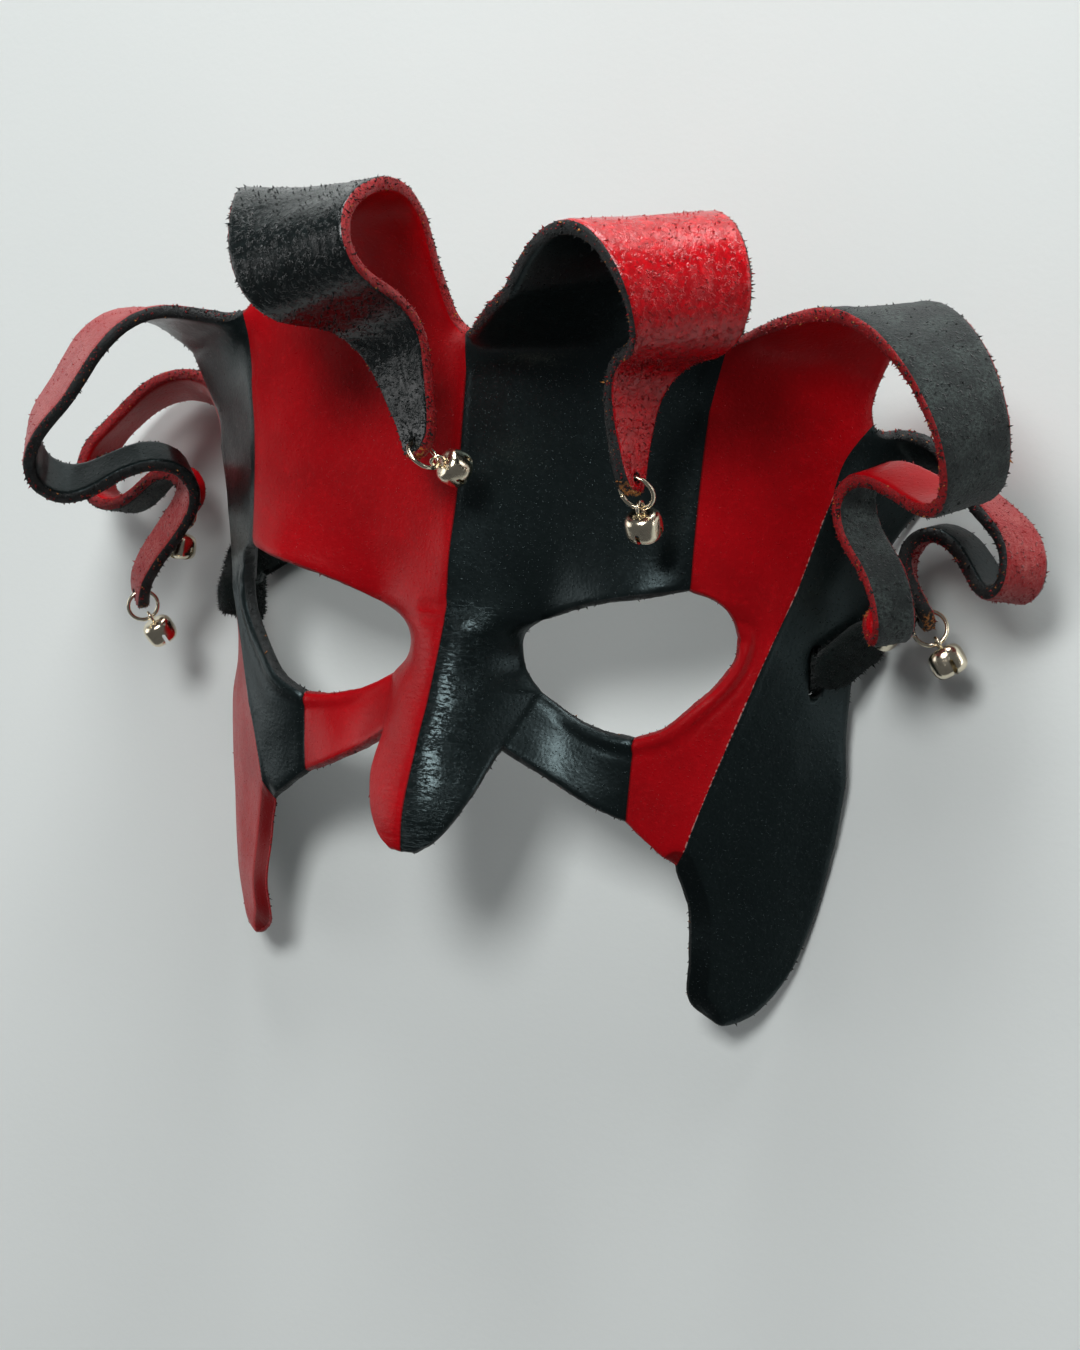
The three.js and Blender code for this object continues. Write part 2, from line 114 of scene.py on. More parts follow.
# Landmarks of the viewer's right half, on the smooth side. The left half mirrors them.
HAIR_CENTRE = (0, 54.3, -9.7)
HAIR_SCORE = (56.3, 54.1, -10.4)
HAIR_CREASE = (79.3, 36.4, -28)
HAIR_BACK = (82, 15.5, -43.3)
BROW = (0, 0, 0)
BROW_END = (20, -1, -5.5)
NOSE_TIP = (0, -47.2, 19.7)
NOSE_TIP_SIDE = (3.2, -46.9, 19.1)
NOSE_NOTCH = (14.8, -26.8, 2)
EYE_ABOVE = (53.7, 9, -5.6)
EYE_INNER = (18.5, -17, -8)
EYE_BELOW = (40.9, -24.2, -6)
EYE_OUTER = (61.6, -2, -13.2)
CHEEK_BELOW_EYE = (40.2, -41.2, -4.4)
CHEEK_CORNER = (51.8, -50, -5.8)
CREASE_AT_EYE = (66.6, -4.5, -15.8)
NOSE_FOLD = [(-6.4, -0.1, -1.6), (-3, 0.7, -0.4), (0.2, 1.1, 0.6)]
FLAP_FRONT = (57, -84, -9)
FLAP_BACK = (71.7, -74.4, -21.3)
BACK_AT_CHEEK = (77.3, -47, -28.3)
BACK_AT_EYE = (77.4, -12, -35)

# How far the nose's sides bulge, as a share of its height
NOSE_ROUNDING = 0.16

# Coarse steps along the edges, each of which is cut into the leather's mesh steps
STEPS = {
    "brow_inner": 3, "brow_outer": 5, "forehead": 6, "bridge": 4, "cheek": 3, "nose_side": 5,
    "under_eye": 5, "cheek_edge": 3, "crease_low": 4, "temple": 2, "side_panel": 4, "flap": 4,
}
HORN_STEPS = 136
TURN_EFFORT = 7

# Each horn: length, widths after the root and its turning in degrees per centimetre at even
# stations. Curl bends it towards its smooth face, twist turns it about its own line and sway
# turns it in its own plane. Ring swing turns the ring across the tip. Last come its colours,
# smooth side first, and the finish of its back.
HORNS = {
    "forehead_left": dict(
        length=116.5, widths=[42.8, 32, 24.7, 15.9, 6.4], ring_swing=35,
        curl=[32, 18, 10, 48, 11, 102, -25, -44, 8, -60], twist=[-9, 13, 11, -1, 8],
        sway=[10, -1.5, 2.3, -5.3], up=(0, 1, -0.17), front="red", back="black lacquer"),
    "forehead_right": dict(
        length=121.4, widths=[41.3, 30.9, 21.7, 14.1, 6.4], ring_swing=35,
        curl=[98, 42, -18, -22, 26, 45, 45, 72, 34, -46, -43, -8, -10], twist=[31, -5, 11, -2, -16],
        sway=[13.2, 6.3, -9.9, 0.5], up=(0, 1, -0.17), front="black", back="red lacquer",
        straight_root=30),
    "brow_right": dict(
        length=155.7, widths=[19.4, 14.3, 9.8, 8.5, 6.5], ring_swing=50,
        curl=[52, 8, 27, 24, 21, 33, 65, 16, -42, -82, -14, 103, 158], twist=[15, 8, -6, 10, 6],
        sway=[-4.1, -1.8, -5.1, -0.5], up=(5, 14, -3.5), front="red", back="black suede"),
    "side_right": dict(
        length=101.4, widths=[13.6, 9.2, 8.3, 8.3, 6.3], ring_swing=10,
        curl=[42, 60, 50, -2, -10, 59, 163, 24, -34, -77, -77, -16, -4], twist=[1, 20, 4, 7, -20],
        sway=[-7, 1.5, -21.5, -1.3], up=(0.44, 0.57, -0.7), front="black", back="red suede"),
    "brow_left": dict(
        length=142.7, widths=[25.3, 17.5, 8.6, 8.4, 6.6], ring_swing=20,
        curl=[91, 8, 46, 28, -16, 42, 104, -13, -51, -64, -17, 23, 58], twist=[14, 2, -7, 10, -10],
        sway=[-11.4, 9.5, 2.2, 1.4], up=(5, 14, -3.5), front="black", back="red suede"),
    "side_left": dict(
        length=103.3, widths=[18, 13.8, 11.3, 8.5, 6.5], ring_swing=10,
        curl=[16, 27, 38, 39, 20, 1, 59, 83, 56, 0, -70, -100, -70], twist=[6, 18, -16, -2, 2],
        sway=[-7.7, -2.1, -0.7, -0.2], up=(0.44, 0.57, -0.7), front="red", back="black suede"),
}

# A horn's end is rounded over this length, down to this share of its width
TIP_ROUNDING = 5
TIP_SHARE = 0.45

# A horn's first bends are drawn straight over this length from its root
STRAIGHT_ROOT = 8

# Bends are eased this near a horn's root and a side panel's corners
ROOT_EASE = 9
CORNER_EASE = ((FLAP_BACK, 15), (FLAP_FRONT, 3))
EASE_TIMES = 50

# The flaps' front edges are cut at a slant this wide and deep
FLAP_BEVEL = 3.9
FLAP_BEVEL_DEPTH = 2.1

# Low relief along lines, each as height or depth, width and place beside the line. The lip's
# height and the score's depth are settings.
CREASE_RIDGE = (0.18, 0.6)
SCORE_WIDTH = 0.9
LIP_WIDTH, LIP_PLACE = 0.95, 1.3
LIP_GROOVE = (0.3, 0.7, 3.3)
LIP_REACH = 6
LIP_INNER_FADE, LIP_OUTER_FADE = 12, 3
LIP_SOFT_LENGTH, LIP_SOFTEST = 30, 0.35
LEFT_LIP_SHARE = 0.7
FOLD_GROOVE = (0.55, 0.7)
FOLD_RIDGE = (0.3, 0.8, 1.6)
RIM_DROP = 0.2

# The nose's wrinkles: half the width that has them fully, and how they fade beside it and up
# towards a place above the brows
WRINKLED_HALF, WRINKLED_FADE = 5, 7
WRINKLED_TOP, WRINKLED_TOP_FADE = 3, 5

# The back follows the smooth side's directions, smoothed this often and up to this lean, and
# the inside of the face has this share of the horns' nap
BACK_SMOOTHING = 7
LEAN_LIMIT = 0.75
INSIDE_NAP_SHARE = 0.4

# Unevenness, in layers of noise with a height, a size and a seed
WAVES = ((0.3, 17, 1), (0.12, 6, 2))
COARSE_NAP = ((0.10, 1.6, 3), (0.07, 0.8, 4))
RAGGED_CUT = ((0.12, 1.1, 5), (0.16, 3.5, 6))
STRAP_NAP = ((0.09, 0.9, 8), (0.1, 2.3, 9))

# The rounded section of a cut edge: how deep each line of it lies and how far it stands out
CUT_SECTION = ((0.1, 0.26), (0.28, 0.44), (0.5, 0.5), (0.72, 0.44), (0.9, 0.26))

# Loose fibres of the cut edges: half widths, shortest length with what most and the longest add
# to it, and how many stand on a panel's edge for each on a horn's
FIBRE_WIDTHS = (0.16, 0.36)
FIBRE_SHORTEST, FIBRE_MORE, FIBRE_MOST = 0.4, 0.18, 0.7
PANEL_FIBRE_SHARE = 0.12

# Crumbs on the horns' backs, as wide as the fibres, and the strap's nap: lengths, half widths
# and, for the nap, how deep it is rooted and how much it leans
CRUMB_LENGTHS = (0.35, 0.75)
CRUMB_ROOT = 0.15
STRAP_FIBRE_LENGTHS = (0.4, 1.2)
STRAP_FIBRE_WIDTHS = (0.08, 0.18)
STRAP_FIBRE_ROOT = 0.1
STRAP_FIBRE_LEAN = 0.4

# Raw leather, where the dye has worn off the horns' tips
RAW = (0.55, 0.2, 0.035)

# Finishes of the leather, in the order of its material slots
FINISHES = [
    "red", "black", "red lacquer", "black lacquer", "red suede", "black suede", "flesh side",
    "red edge", "black edge",
]

# What the finishes vary with: how far a point is from a scored line, a crease, a horn's tip and
# a flap's slanted edge, and how much of the nose's wrinkles it has. A point that has no such
# line near it is far off, and one on a panel has no tip.
NUMBERS = ("seam", "crease", "tip", "bevel", "nose")
FAR_OFF = 9.0
NO_TIP = 99.0

RED_BACKS = [FINISHES.index("red suede"), FINISHES.index("red lacquer")]

MIRROR = np.array([-1.0, 1.0, 1.0])

# The stage: half the floor's width, what the camera sees between, the colour of the even light,
# and each lamp's size and its way from the mask as right, up and back of the viewer
FLOOR_REACH = 1.6
CLIP = (0.01, 10)
ROOM_COLOUR = (0.93, 0.96, 1, 1)
LIT_MIDDLE = (0, 10, 0)
LAMPS = {
    "key": (0.66, (0, 1, 0.25)), "left": (0.74, (-1, 0.1, -0.12)),
    "right": (0.88, (1, 0.2, 0.25)), "front": (0.4, (-0.29, 0.42, 0.87)),
}


def unit(v):
    """A direction of length 1."""
    v = np.asarray(v, float)
    return v / np.linalg.norm(v)


def unit_rows(rows):
    """Rows of directions, each of length 1."""
    return rows / np.maximum(np.linalg.norm(rows, axis=1), 1e-9)[:, None]


def laid(points):
    """Face axes in millimetres to the laid mask in metres."""
    return (np.asarray(points, float) @ LAY.T + REST_SHIFT) * MM


def laid_direction(direction):
    """A direction in face axes as it points on the laid mask."""
    return np.asarray(direction, float) @ LAY.T


def curve_point(points, t):
    """A place on the smooth curve through points, for t from 0 to 1."""
    last = len(points) - 1
    place = t * last
    before = min(int(place), last - 1)
    w = place - before
    p1, p2 = points[before], points[before + 1]
    p0 = points[before - 1] if before > 0 else 2 * points[0] - points[1]
    p3 = points[before + 2] if before + 2 <= last else 2 * points[last] - points[last - 1]
    gaps = [np.dot(b - a, b - a) ** 0.25 for a, b in ((p0, p1), (p1, p2), (p2, p3))]
    middle = gaps[1] if gaps[1] > 1e-4 else 1.0
    first = gaps[0] if gaps[0] > 1e-4 else middle
    third = gaps[2] if gaps[2] > 1e-4 else middle
    start = ((p1 - p0) / first - (p2 - p0) / (first + middle) + (p2 - p1) / middle) * middle
    finish = ((p2 - p1) / middle - (p3 - p1) / (middle + third) + (p3 - p2) / third) * middle
    square = -3 * p1 + 3 * p2 - 2 * start - finish
    cube = 2 * p1 - 2 * p2 + start + finish
    return p1 + start * w + square * w ** 2 + cube * w ** 3


def through(steps, *points):
    """A smooth curve through points, cut into even steps."""
    points = np.array(points, float)
    places = np.linspace(0, 1, 201)
    samples = np.array([curve_point(points, t) for t in places])
    lengths = np.concatenate([[0], np.cumsum(np.linalg.norm(np.diff(samples, axis=0), axis=1))])
    wanted = np.linspace(0, lengths[-1], steps + 1)
    line = np.array([curve_point(points, t) for t in np.interp(wanted, lengths, places)])
    line[0], line[-1] = points[0], points[-1]
    return line


def straight(steps, start, end):
    """A straight line, cut into even steps."""
    w = np.linspace(0, 1, steps + 1)[:, None]
    return np.asarray(start, float) * (1 - w) + np.asarray(end, float) * w


def chain(*parts):
    """One line out of several that meet end to end."""
    return np.vstack([parts[0]] + [part[1:] for part in parts[1:]])


def station(values, place):
    """A value from evenly spaced stations, at a place from 0 to 1."""
    return float(np.interp(place * (len(values) - 1), range(len(values)), values))


def fill(bottom, top, left, right, bulge=None):
    """Rows of points filling four edges; bulge lifts the middle of each row."""
    u = np.linspace(0, 1, len(bottom))[None, :, None]
    w = np.linspace(0, 1, len(left))[:, None, None]
    across = left[:, None] * (1 - u) + right[:, None] * u
    along = bottom[None] * (1 - w) + top[None] * w
    low = bottom[0] * (1 - u) + bottom[-1] * u
    high = top[0] * (1 - u) + top[-1] * u
    rows = across + along - (low * (1 - w) + high * w)
    if bulge is not None:
        rows[:, :, 2] += bulge[:, None] * 4 * u[:, :, 0] * (1 - u[:, :, 0])
    rows[0], rows[-1] = bottom, top
    rows[:, 0], rows[:, -1] = left, right
    return rows


def relaxed(rows, times=300):
    """Rows whose inside is drawn smooth between its four edges."""
    for _ in range(times):
        rows[1:-1, 1:-1] = (rows[:-2, 1:-1] + rows[2:, 1:-1]
                            + rows[1:-1, :-2] + rows[1:-1, 2:]) / 4
    return rows


def drawn_out(rows, reach, length, times=400):
    """Horn rows whose first bends are drawn straight, up to a length from the root."""
    share = 0.5 * np.clip(1.5 * (1 - reach[1:-1] / length), 0, 1)[:, None, None]
    for _ in range(times):
        rows[1:-1] += share * ((rows[:-2] + rows[2:]) / 2 - rows[1:-1])
    return rows


def mirrored(rows):
    """The left half's rows, still running from left to right."""
    return rows[:, ::-1] * MIRROR


def half_edges(fine):
    """The edges of the right half, with fine mesh steps in each coarse one."""
    n = {name: steps * fine for name, steps in STEPS.items()}
    return {
        "ridge": through(n["bridge"] + n["cheek"] + n["nose_side"], NOSE_TIP, (0, -40, 18.9),
                         (0, -25, 12.3), (0, -14, 6.2), BROW),
        "centre": through(n["forehead"], BROW, (0, 11, -1), (0, 23, -4.3), HAIR_CENTRE),
        "brow_line": through(n["brow_inner"], BROW, (10, -0.2, -1.6), BROW_END),
        "lid": through(n["brow_outer"], BROW_END, (27.6, 2.9, -3), (35.6, 5.7, -1.3),
                       (42.9, 7.5, -1), (49, 8.4, -2.7), EYE_ABOVE),
        "inner_rim": through(n["bridge"], EYE_INNER, (14.8, -12.5, -8.2), (14, -8, -8),
                             (15.3, -4.6, -7.3), BROW_END),
        "nose_seam": straight(n["cheek"], NOSE_NOTCH, EYE_INNER),
        "nose_edge": through(n["nose_side"], NOSE_TIP_SIDE, (6.9, -44.7, 17.6), (10.7, -39.4, 14.6),
                             (13.1, -33.9, 10.2), (14.2, -29, 4.8), NOSE_NOTCH),
        "nose_end": straight(n["brow_inner"], NOSE_TIP, NOSE_TIP_SIDE),
        "lower_rim": through(n["under_eye"], EYE_INNER, (25.2, -20.9, -7.5), (33, -23.3, -6.2),
                             EYE_BELOW),
        "score_low": straight(n["cheek"], CHEEK_BELOW_EYE, EYE_BELOW),
        "cheek_inner": through(n["under_eye"], NOSE_NOTCH, (23.6, -32.5, -0.4), (33.6, -37.9, -1.6),
                               CHEEK_BELOW_EYE),
        "cheek_outer": through(n["cheek_edge"], CHEEK_BELOW_EYE, (46.9, -46.6, -4.9), CHEEK_CORNER),
        "crease_low": through(n["crease_low"], CHEEK_CORNER, (54, -42.3, -6.9), (58.9, -27.3, -10),
                              (63.7, -12.9, -13.7), CREASE_AT_EYE),
        "outer_rim": through(n["cheek_edge"] + n["crease_low"], EYE_BELOW, (47.5, -21.5, -6.6),
                             (52.3, -17.5, -8.1), (57.6, -11.9, -11), (60.8, -6.5, -12.8),
                             EYE_OUTER),
        "temple_line": straight(n["cheek"], EYE_OUTER, CREASE_AT_EYE),
        "upper_rim": through(n["temple"], EYE_OUTER, (60.5, 2.5, -12), (57.8, 6.5, -9), EYE_ABOVE),
        "score_high": through(n["forehead"], EYE_ABOVE, (53.8, 20, -7.1), (54.5, 35, -8.8),
                              HAIR_SCORE),
        "crease_high": through(n["temple"] + n["forehead"], CREASE_AT_EYE, (70.5, 8.1, -20.8),
                               (74.3, 22.4, -24.5), HAIR_CREASE),
        "flap_edge": through(n["flap"], FLAP_FRONT, (55, -79, -6.7), (55.5, -71, -6.4),
                             (54.6, -59.5, -7.6), CHEEK_CORNER),
        "flap_hem": through(n["side_panel"], FLAP_FRONT, (60.5, -85.2, -11.5), (66.5, -82.2, -16),
                            FLAP_BACK),
        "back": chain(
            through(n["flap"], FLAP_BACK, (74.6, -63, -25), BACK_AT_CHEEK),
            through(n["crease_low"], BACK_AT_CHEEK, (78.4, -34, -30.4), (77.6, -25, -32),
                    BACK_AT_EYE),
            through(n["temple"] + n["forehead"], BACK_AT_EYE, (79.5, 2, -39.5), HAIR_BACK)),
        "hair_face": straight(n["brow_inner"] + n["brow_outer"], HAIR_CENTRE, HAIR_SCORE),
        "hair_brow": straight(n["cheek"], HAIR_SCORE, HAIR_CREASE),
        "hair_side": straight(n["side_panel"], HAIR_CREASE, HAIR_BACK),
    }


def half_fields(e):
    """The panels of the right half as rows of points, each with its colours right and left."""
    brow_line = chain(e["brow_line"], e["lid"])
    nose_right = chain(e["nose_edge"], e["nose_seam"], e["inner_rim"])
    rounding = NOSE_ROUNDING * (e["ridge"][:, 2] - nose_right[:, 2])
    w = np.linspace(0, 1, len(rounding))
    coarse_rows = STEPS["bridge"] + STEPS["cheek"] + STEPS["nose_side"]
    rounding *= np.clip(w * coarse_rows, 0, 1) * np.clip((1 - w) * coarse_rows, 0, 1)
    crease = chain(e["crease_low"], e["crease_high"])
    around_eye = fill(e["score_low"], e["temple_line"][::-1],
                      chain(e["cheek_outer"], e["crease_low"]), e["outer_rim"])
    return [
        (relaxed(fill(brow_line, e["hair_face"], e["centre"], e["score_high"])), "black", "red"),
        (fill(e["nose_end"], e["brow_line"], e["ridge"], nose_right, rounding), "black", "red"),
        (fill(e["cheek_inner"], e["lower_rim"], e["nose_seam"], e["score_low"]), "black", "red"),
        (around_eye[:, ::-1], "red", "black"),
        (fill(e["temple_line"], e["hair_brow"], chain(e["upper_rim"], e["score_high"]),
              e["crease_high"]), "red", "black"),
        (fill(e["flap_hem"], e["hair_side"], chain(e["flap_edge"], crease), e["back"]),
         "black", "red"),
    ]


def turned(v, axis, angle):
    """A direction turned about an axis."""
    c, s = math.cos(angle), math.sin(angle)
    return v * c + np.cross(axis, v) * s + axis * np.dot(axis, v) * (1 - c)


def round_end(to_tip):
    """How much of its width a horn keeps near its tip."""
    if to_tip > TIP_ROUNDING:
        return 1.0
    return TIP_SHARE + (1 - TIP_SHARE) * math.sqrt(max(0.0, 1 - (1 - to_tip / TIP_ROUNDING) ** 2))


def grow_horn(horn, root, rows_wanted, thickness):
    """A horn's rows, grown from its root edge, how far each is along it, and its tip."""
    across = unit(root[-1] - root[0])
    up = np.array(horn["up"], float)
    along = unit(up - across * np.dot(up, across))
    normal = np.cross(across, along)
    centre = (root[0] + root[-1]) / 2
    widths = [np.linalg.norm(root[-1] - root[0]), *horn["widths"]]
    step = horn["length"] / HORN_STEPS
    places, effort, tip = [], 0.0, None
    for i in range(1, HORN_STEPS + 1):
        middle = (i - 0.5) / HORN_STEPS
        spin = (along * station(horn["twist"], middle) - normal * station(horn["sway"], middle)
                + across * station(horn["curl"], middle))
        angle = np.linalg.norm(spin) * math.radians(step / 10)
        centre = centre + along * step / 2
        axis = unit(spin)
        along, normal, across = (turned(v, axis, angle) for v in (along, normal, across))
        centre = centre + along * step / 2
        to_tip = horn["length"] - i * step
        if tip is None and to_tip <= HOLE_FROM_TIP:
            at = centre + along * (to_tip - HOLE_FROM_TIP) - normal * thickness / 2
            tip = {"at": at, "along": along, "normal": normal, "across": across}
        effort += step + TURN_EFFORT * angle
        half = station(widths, i / HORN_STEPS) * round_end(to_tip) / 2
        places.append((effort, i * step, centre - across * half, centre + across * half))
    rows, reach = [root], [0.0]
    for done, far, start, end in places:
        if done >= effort * len(rows) / rows_wanted - 1e-6:
            rows.append(straight(len(root) - 1, start, end))
            reach.append(far)
    return np.array(rows), np.array(reach), tip


def all_horns(edges, rows_wanted, thickness):
    """Rows, reach and tip of each horn, the left ones mirrored into place."""
    roots = {
        "forehead_left": edges["hair_face"][::-1] * MIRROR, "forehead_right": edges["hair_face"],
        "brow_right": edges["hair_brow"], "side_right": edges["hair_side"],
        "brow_left": edges["hair_brow"], "side_left": edges["hair_side"],
    }
    horns = {}
    for name, root in roots.items():
        rows, reach, tip = grow_horn(HORNS[name], root, rows_wanted, thickness)
        if name in ("brow_left", "side_left"):
            rows = mirrored(rows)
            tip = {key: value * MIRROR for key, value in tip.items()}
            tip["across"] = -tip["across"]
        horns[name] = (rows, reach, tip)
    return horns


def distance_to(points, *lines):
    """How far each point is from the nearest of some lines of points."""
    nearest = np.full(len(points), 1e9)
    for line in lines:
        for a, b in zip(line[:-1], line[1:]):
            along = b - a
            w = np.clip((points - a) @ along / max(np.dot(along, along), 1e-9), 0, 1)
            away = np.linalg.norm(points - a - w[:, None] * along, axis=1)
            nearest = np.minimum(nearest, away)
    return nearest


def ridge(away, height, width, place=0.0):
    """The height of a rounded ridge at each distance from its line."""
    return height * np.exp(-((away - place) / width) ** 2)


def grain(points, layers):
    """Smooth noise at each point, in layers with a height, a size and a seed."""
    total = 0
    for height, size, seed in layers:
        shift = Vector((seed * 7.31, seed * 3.17, seed * 5.73))
        total = total + height * np.array([noise.noise(Vector(p) / size + shift) for p in points])
    return total


class Sheet:
    """Joined panels that are given a back and cut edges."""

    def __init__(self):
        self.known = {}
        self.points = []
        self.along_horn = []
        self.near_tip = []
        self.faces = []
        self.fronts = []
        self.backs = []

    def index(self, point, along_horn, near_tip):
        """The number of a point, which panels that meet there share."""
        key = tuple(int(round(c * 1000)) for c in point)
        if key not in self.known:
            self.known[key] = len(self.points)
            self.points.append(point)
            self.along_horn.append(along_horn)
            self.near_tip.append(near_tip)
        return self.known[key]

    def add(self, rows, front, back, reach=None):
        """Rows run from low to high and each from left to right, seen from the smooth side."""
        ids = []
        for r, row in enumerate(rows):
            far = 0.0 if reach is None else reach[r]
            tip = NO_TIP if reach is None else reach[-1] - reach[r]
            ids.append([self.index(p, far, tip) for p in row])
        for low, high in zip(ids[:-1], ids[1:]):
            for c in range(1, len(low)):
                self.faces.append((low[c - 1], low[c], high[c], high[c - 1]))
                self.fronts.append(FINISHES.index(front))
                self.backs.append(FINISHES.index(back))

    def freeze(self):
        """Turns the lists into arrays and finds the edges and the rim."""
        self.points = np.array(self.points)
        self.along_horn = np.array(self.along_horn)
        self.near_tip = np.array(self.near_tip)
        self.faces = np.array(self.faces)
        self.fronts, self.backs = np.array(self.fronts), np.array(self.backs)
        sides = np.vstack([self.faces[:, [k, (k + 1) % 4]] for k in range(4)])
        keys = sides.min(axis=1) * len(self.points) + sides.max(axis=1)
        _, first, uses = np.unique(keys, return_index=True, return_counts=True)
        self.edges = sides[first]
        alone = first[uses == 1]
        self.rim = sides[alone]
        self.rim_back = np.tile(self.backs, 4)[alone]
        red_front = np.tile(self.fronts, 4)[alone] == FINISHES.index("red")
        self.edge_finish = finish_or(red_front, "red edge", "black edge")
        self.rim_points = np.unique(self.rim)
        self.rim_pairs = np.searchsorted(self.rim_points, self.rim)
        self.on_rim = np.zeros(len(self.points), bool)
        self.on_rim[self.rim_points] = True

    def normals(self):
        """The direction out of the smooth side at each point."""
        p = self.points[self.faces]
        face = np.cross(p[:, 2] - p[:, 0], p[:, 3] - p[:, 1])
        total = np.zeros_like(self.points)
        for k in range(4):
            np.add.at(total, self.faces[:, k], face)
        return total / np.linalg.norm(total, axis=1)[:, None]

    def averaged(self, values):
        """Each point's value averaged over its neighbours; a rim point's along the rim alone."""
        rim_ends = self.on_rim[self.edges]
        inner = self.edges[~rim_ends.any(axis=1)]
        mixed = self.edges[rim_ends[:, 0] ^ rim_ends[:, 1]]
        to_inner = np.where(self.on_rim[mixed[:, 0]][:, None], mixed[:, ::-1], mixed)
        pairs = np.vstack([inner, inner[:, ::-1], to_inner, self.rim, self.rim[:, ::-1]])
        total = np.zeros_like(values)
        count = np.zeros(len(values))
        np.add.at(total, pairs[:, 0], values[pairs[:, 1]])
        np.add.at(count, pairs[:, 0], 1)
        return total / np.maximum(count, 1)[:, None]


def spikes(roots, ways, lengths, widths):
    """Closed thin pyramids that stand at roots, as single fibres do."""
    side = unit_rows(np.cross(ways, (0.31, 0.17, 0.94)))
    other = np.cross(ways, side)
    turns = np.arange(3) * 2 * math.pi / 3
    corners = [roots + widths[:, None] * (math.cos(a) * side + math.sin(a) * other) for a in turns]
    points = np.stack([*corners, roots + ways * lengths[:, None]], axis=1).reshape(-1, 3)
    one = np.array([(2, 1, 0), (0, 1, 3), (1, 2, 3), (2, 0, 3)])
    faces = (one[None] + 4 * np.arange(len(roots))[:, None, None]).reshape(-1, 3)
    return points, faces


def finish_or(test, first, second):
    """One finish where a test holds and another where it doesn't."""
    return np.where(test, FINISHES.index(first), FINISHES.index(second))


def edge_fibres(sheet, front, back, out, per_mm):
    """Fibres along the cut edges, thick on the horns: points, faces, finishes and rawness."""
    rng = np.random.default_rng(11)
    a, b = sheet.rim_pairs[:, 0], sheet.rim_pairs[:, 1]
    on_horn = (sheet.along_horn[sheet.rim] > 0).all(axis=1)
    weight = np.linalg.norm(front[b] - front[a], axis=1) * np.where(on_horn, 1.0, PANEL_FIBRE_SHARE)
    count = int(weight.sum() * per_mm)
    piece = rng.choice(len(a), count, p=weight / weight.sum())
    w, depth = rng.random((2, count, 1))
    a, b = a[piece], b[piece]
    upper, lower = front[a] * (1 - w) + front[b] * w, back[a] * (1 - w) + back[b] * w
    way = unit_rows(out[a] * (1 - w) + out[b] * w)
    bulge = 0.5 * np.sqrt(np.clip(1 - (2 * depth - 1) ** 2, 0, 1))
    roots = upper * (1 - depth) + lower * depth + way * (bulge - 0.2)
    leaning = way + 0.9 * (0.5 - depth) * unit_rows(upper - lower) + rng.normal(0, 0.35, (count, 3))
    lengths = FIBRE_SHORTEST + np.minimum(rng.exponential(FIBRE_MORE, count), FIBRE_MOST)
    points, faces = spikes(roots, unit_rows(leaning), lengths, rng.uniform(*FIBRE_WIDTHS, count))
    luck = rng.random(count)
    raw = np.where(luck < 0.1, 0.2, sheet.near_tip[sheet.rim[piece, 0]])
    red_behind = np.isin(sheet.rim_back[piece], RED_BACKS) & (luck > 0.5)
    finish = np.where(depth[:, 0] > 0.45, finish_or(red_behind, "red edge", "black edge"),
                      sheet.edge_finish[piece])
    return points, faces, finish, raw


def nap_crumbs(sheet, back, inward, count):
    """Crumbs of nap on the horns' backs: points, faces, finishes and rawness."""
    rng = np.random.default_rng(13)
    chosen = rng.choice(np.where((sheet.along_horn[sheet.faces] > 0).all(axis=1))[0], count)
    corners = sheet.faces[chosen]
    share = rng.dirichlet((1, 1, 1, 1), count)[:, :, None]
    spot, inward = (back[corners] * share).sum(axis=1), (inward[corners] * share).sum(axis=1)
    ways = unit_rows(-inward + rng.normal(0, 0.5, inward.shape))
    points, faces = spikes(spot + inward * CRUMB_ROOT, ways,
                           rng.uniform(*CRUMB_LENGTHS, count),
                           rng.uniform(*FIBRE_WIDTHS, count))
    red_behind = np.isin(sheet.backs[chosen], RED_BACKS)
    return points, faces, finish_or(red_behind, "red edge", "black edge"), np.full(count, FAR_OFF)


def lip_height(points, edges, height):
    """How far the rolled lip below each eye hole stands up at each point."""
    rise = np.zeros(len(points))
    for side in (1.0, -1.0):
        flip = np.array([side, 1, 1])
        away = distance_to(points, chain(edges["lower_rim"], edges["outer_rim"]) * flip)
        lip = ridge(away, height, LIP_WIDTH, LIP_PLACE) - ridge(away, *LIP_GROOVE)
        inner, outer, below = (np.linalg.norm(points - np.array(place) * flip, axis=1)
                               for place in (EYE_INNER, EYE_OUTER, EYE_BELOW))
        weight = np.clip(inner / LIP_INNER_FADE, 0, 1) * np.clip(outer / LIP_OUTER_FADE, 0, 1)
        softer = np.where(side * points[:, 0] < EYE_BELOW[0],
                          np.clip(1 - below / LIP_SOFT_LENGTH, LIP_SOFTEST, 1), 1)
        share = 1 if side > 0 else LEFT_LIP_SHARE
        rise = np.where(away < LIP_REACH, lip * weight * softer * share, rise)
    return rise


def nose_weight(points):
    """How much of the nose's cross wrinkles each point has."""
    x, y = np.abs(points[:, 0]), points[:, 1]
    beside = np.clip(1 - (x - WRINKLED_HALF) / WRINKLED_FADE, 0, 1)
    return beside * np.clip((WRINKLED_TOP - y) / WRINKLED_TOP_FADE, 0, 1)


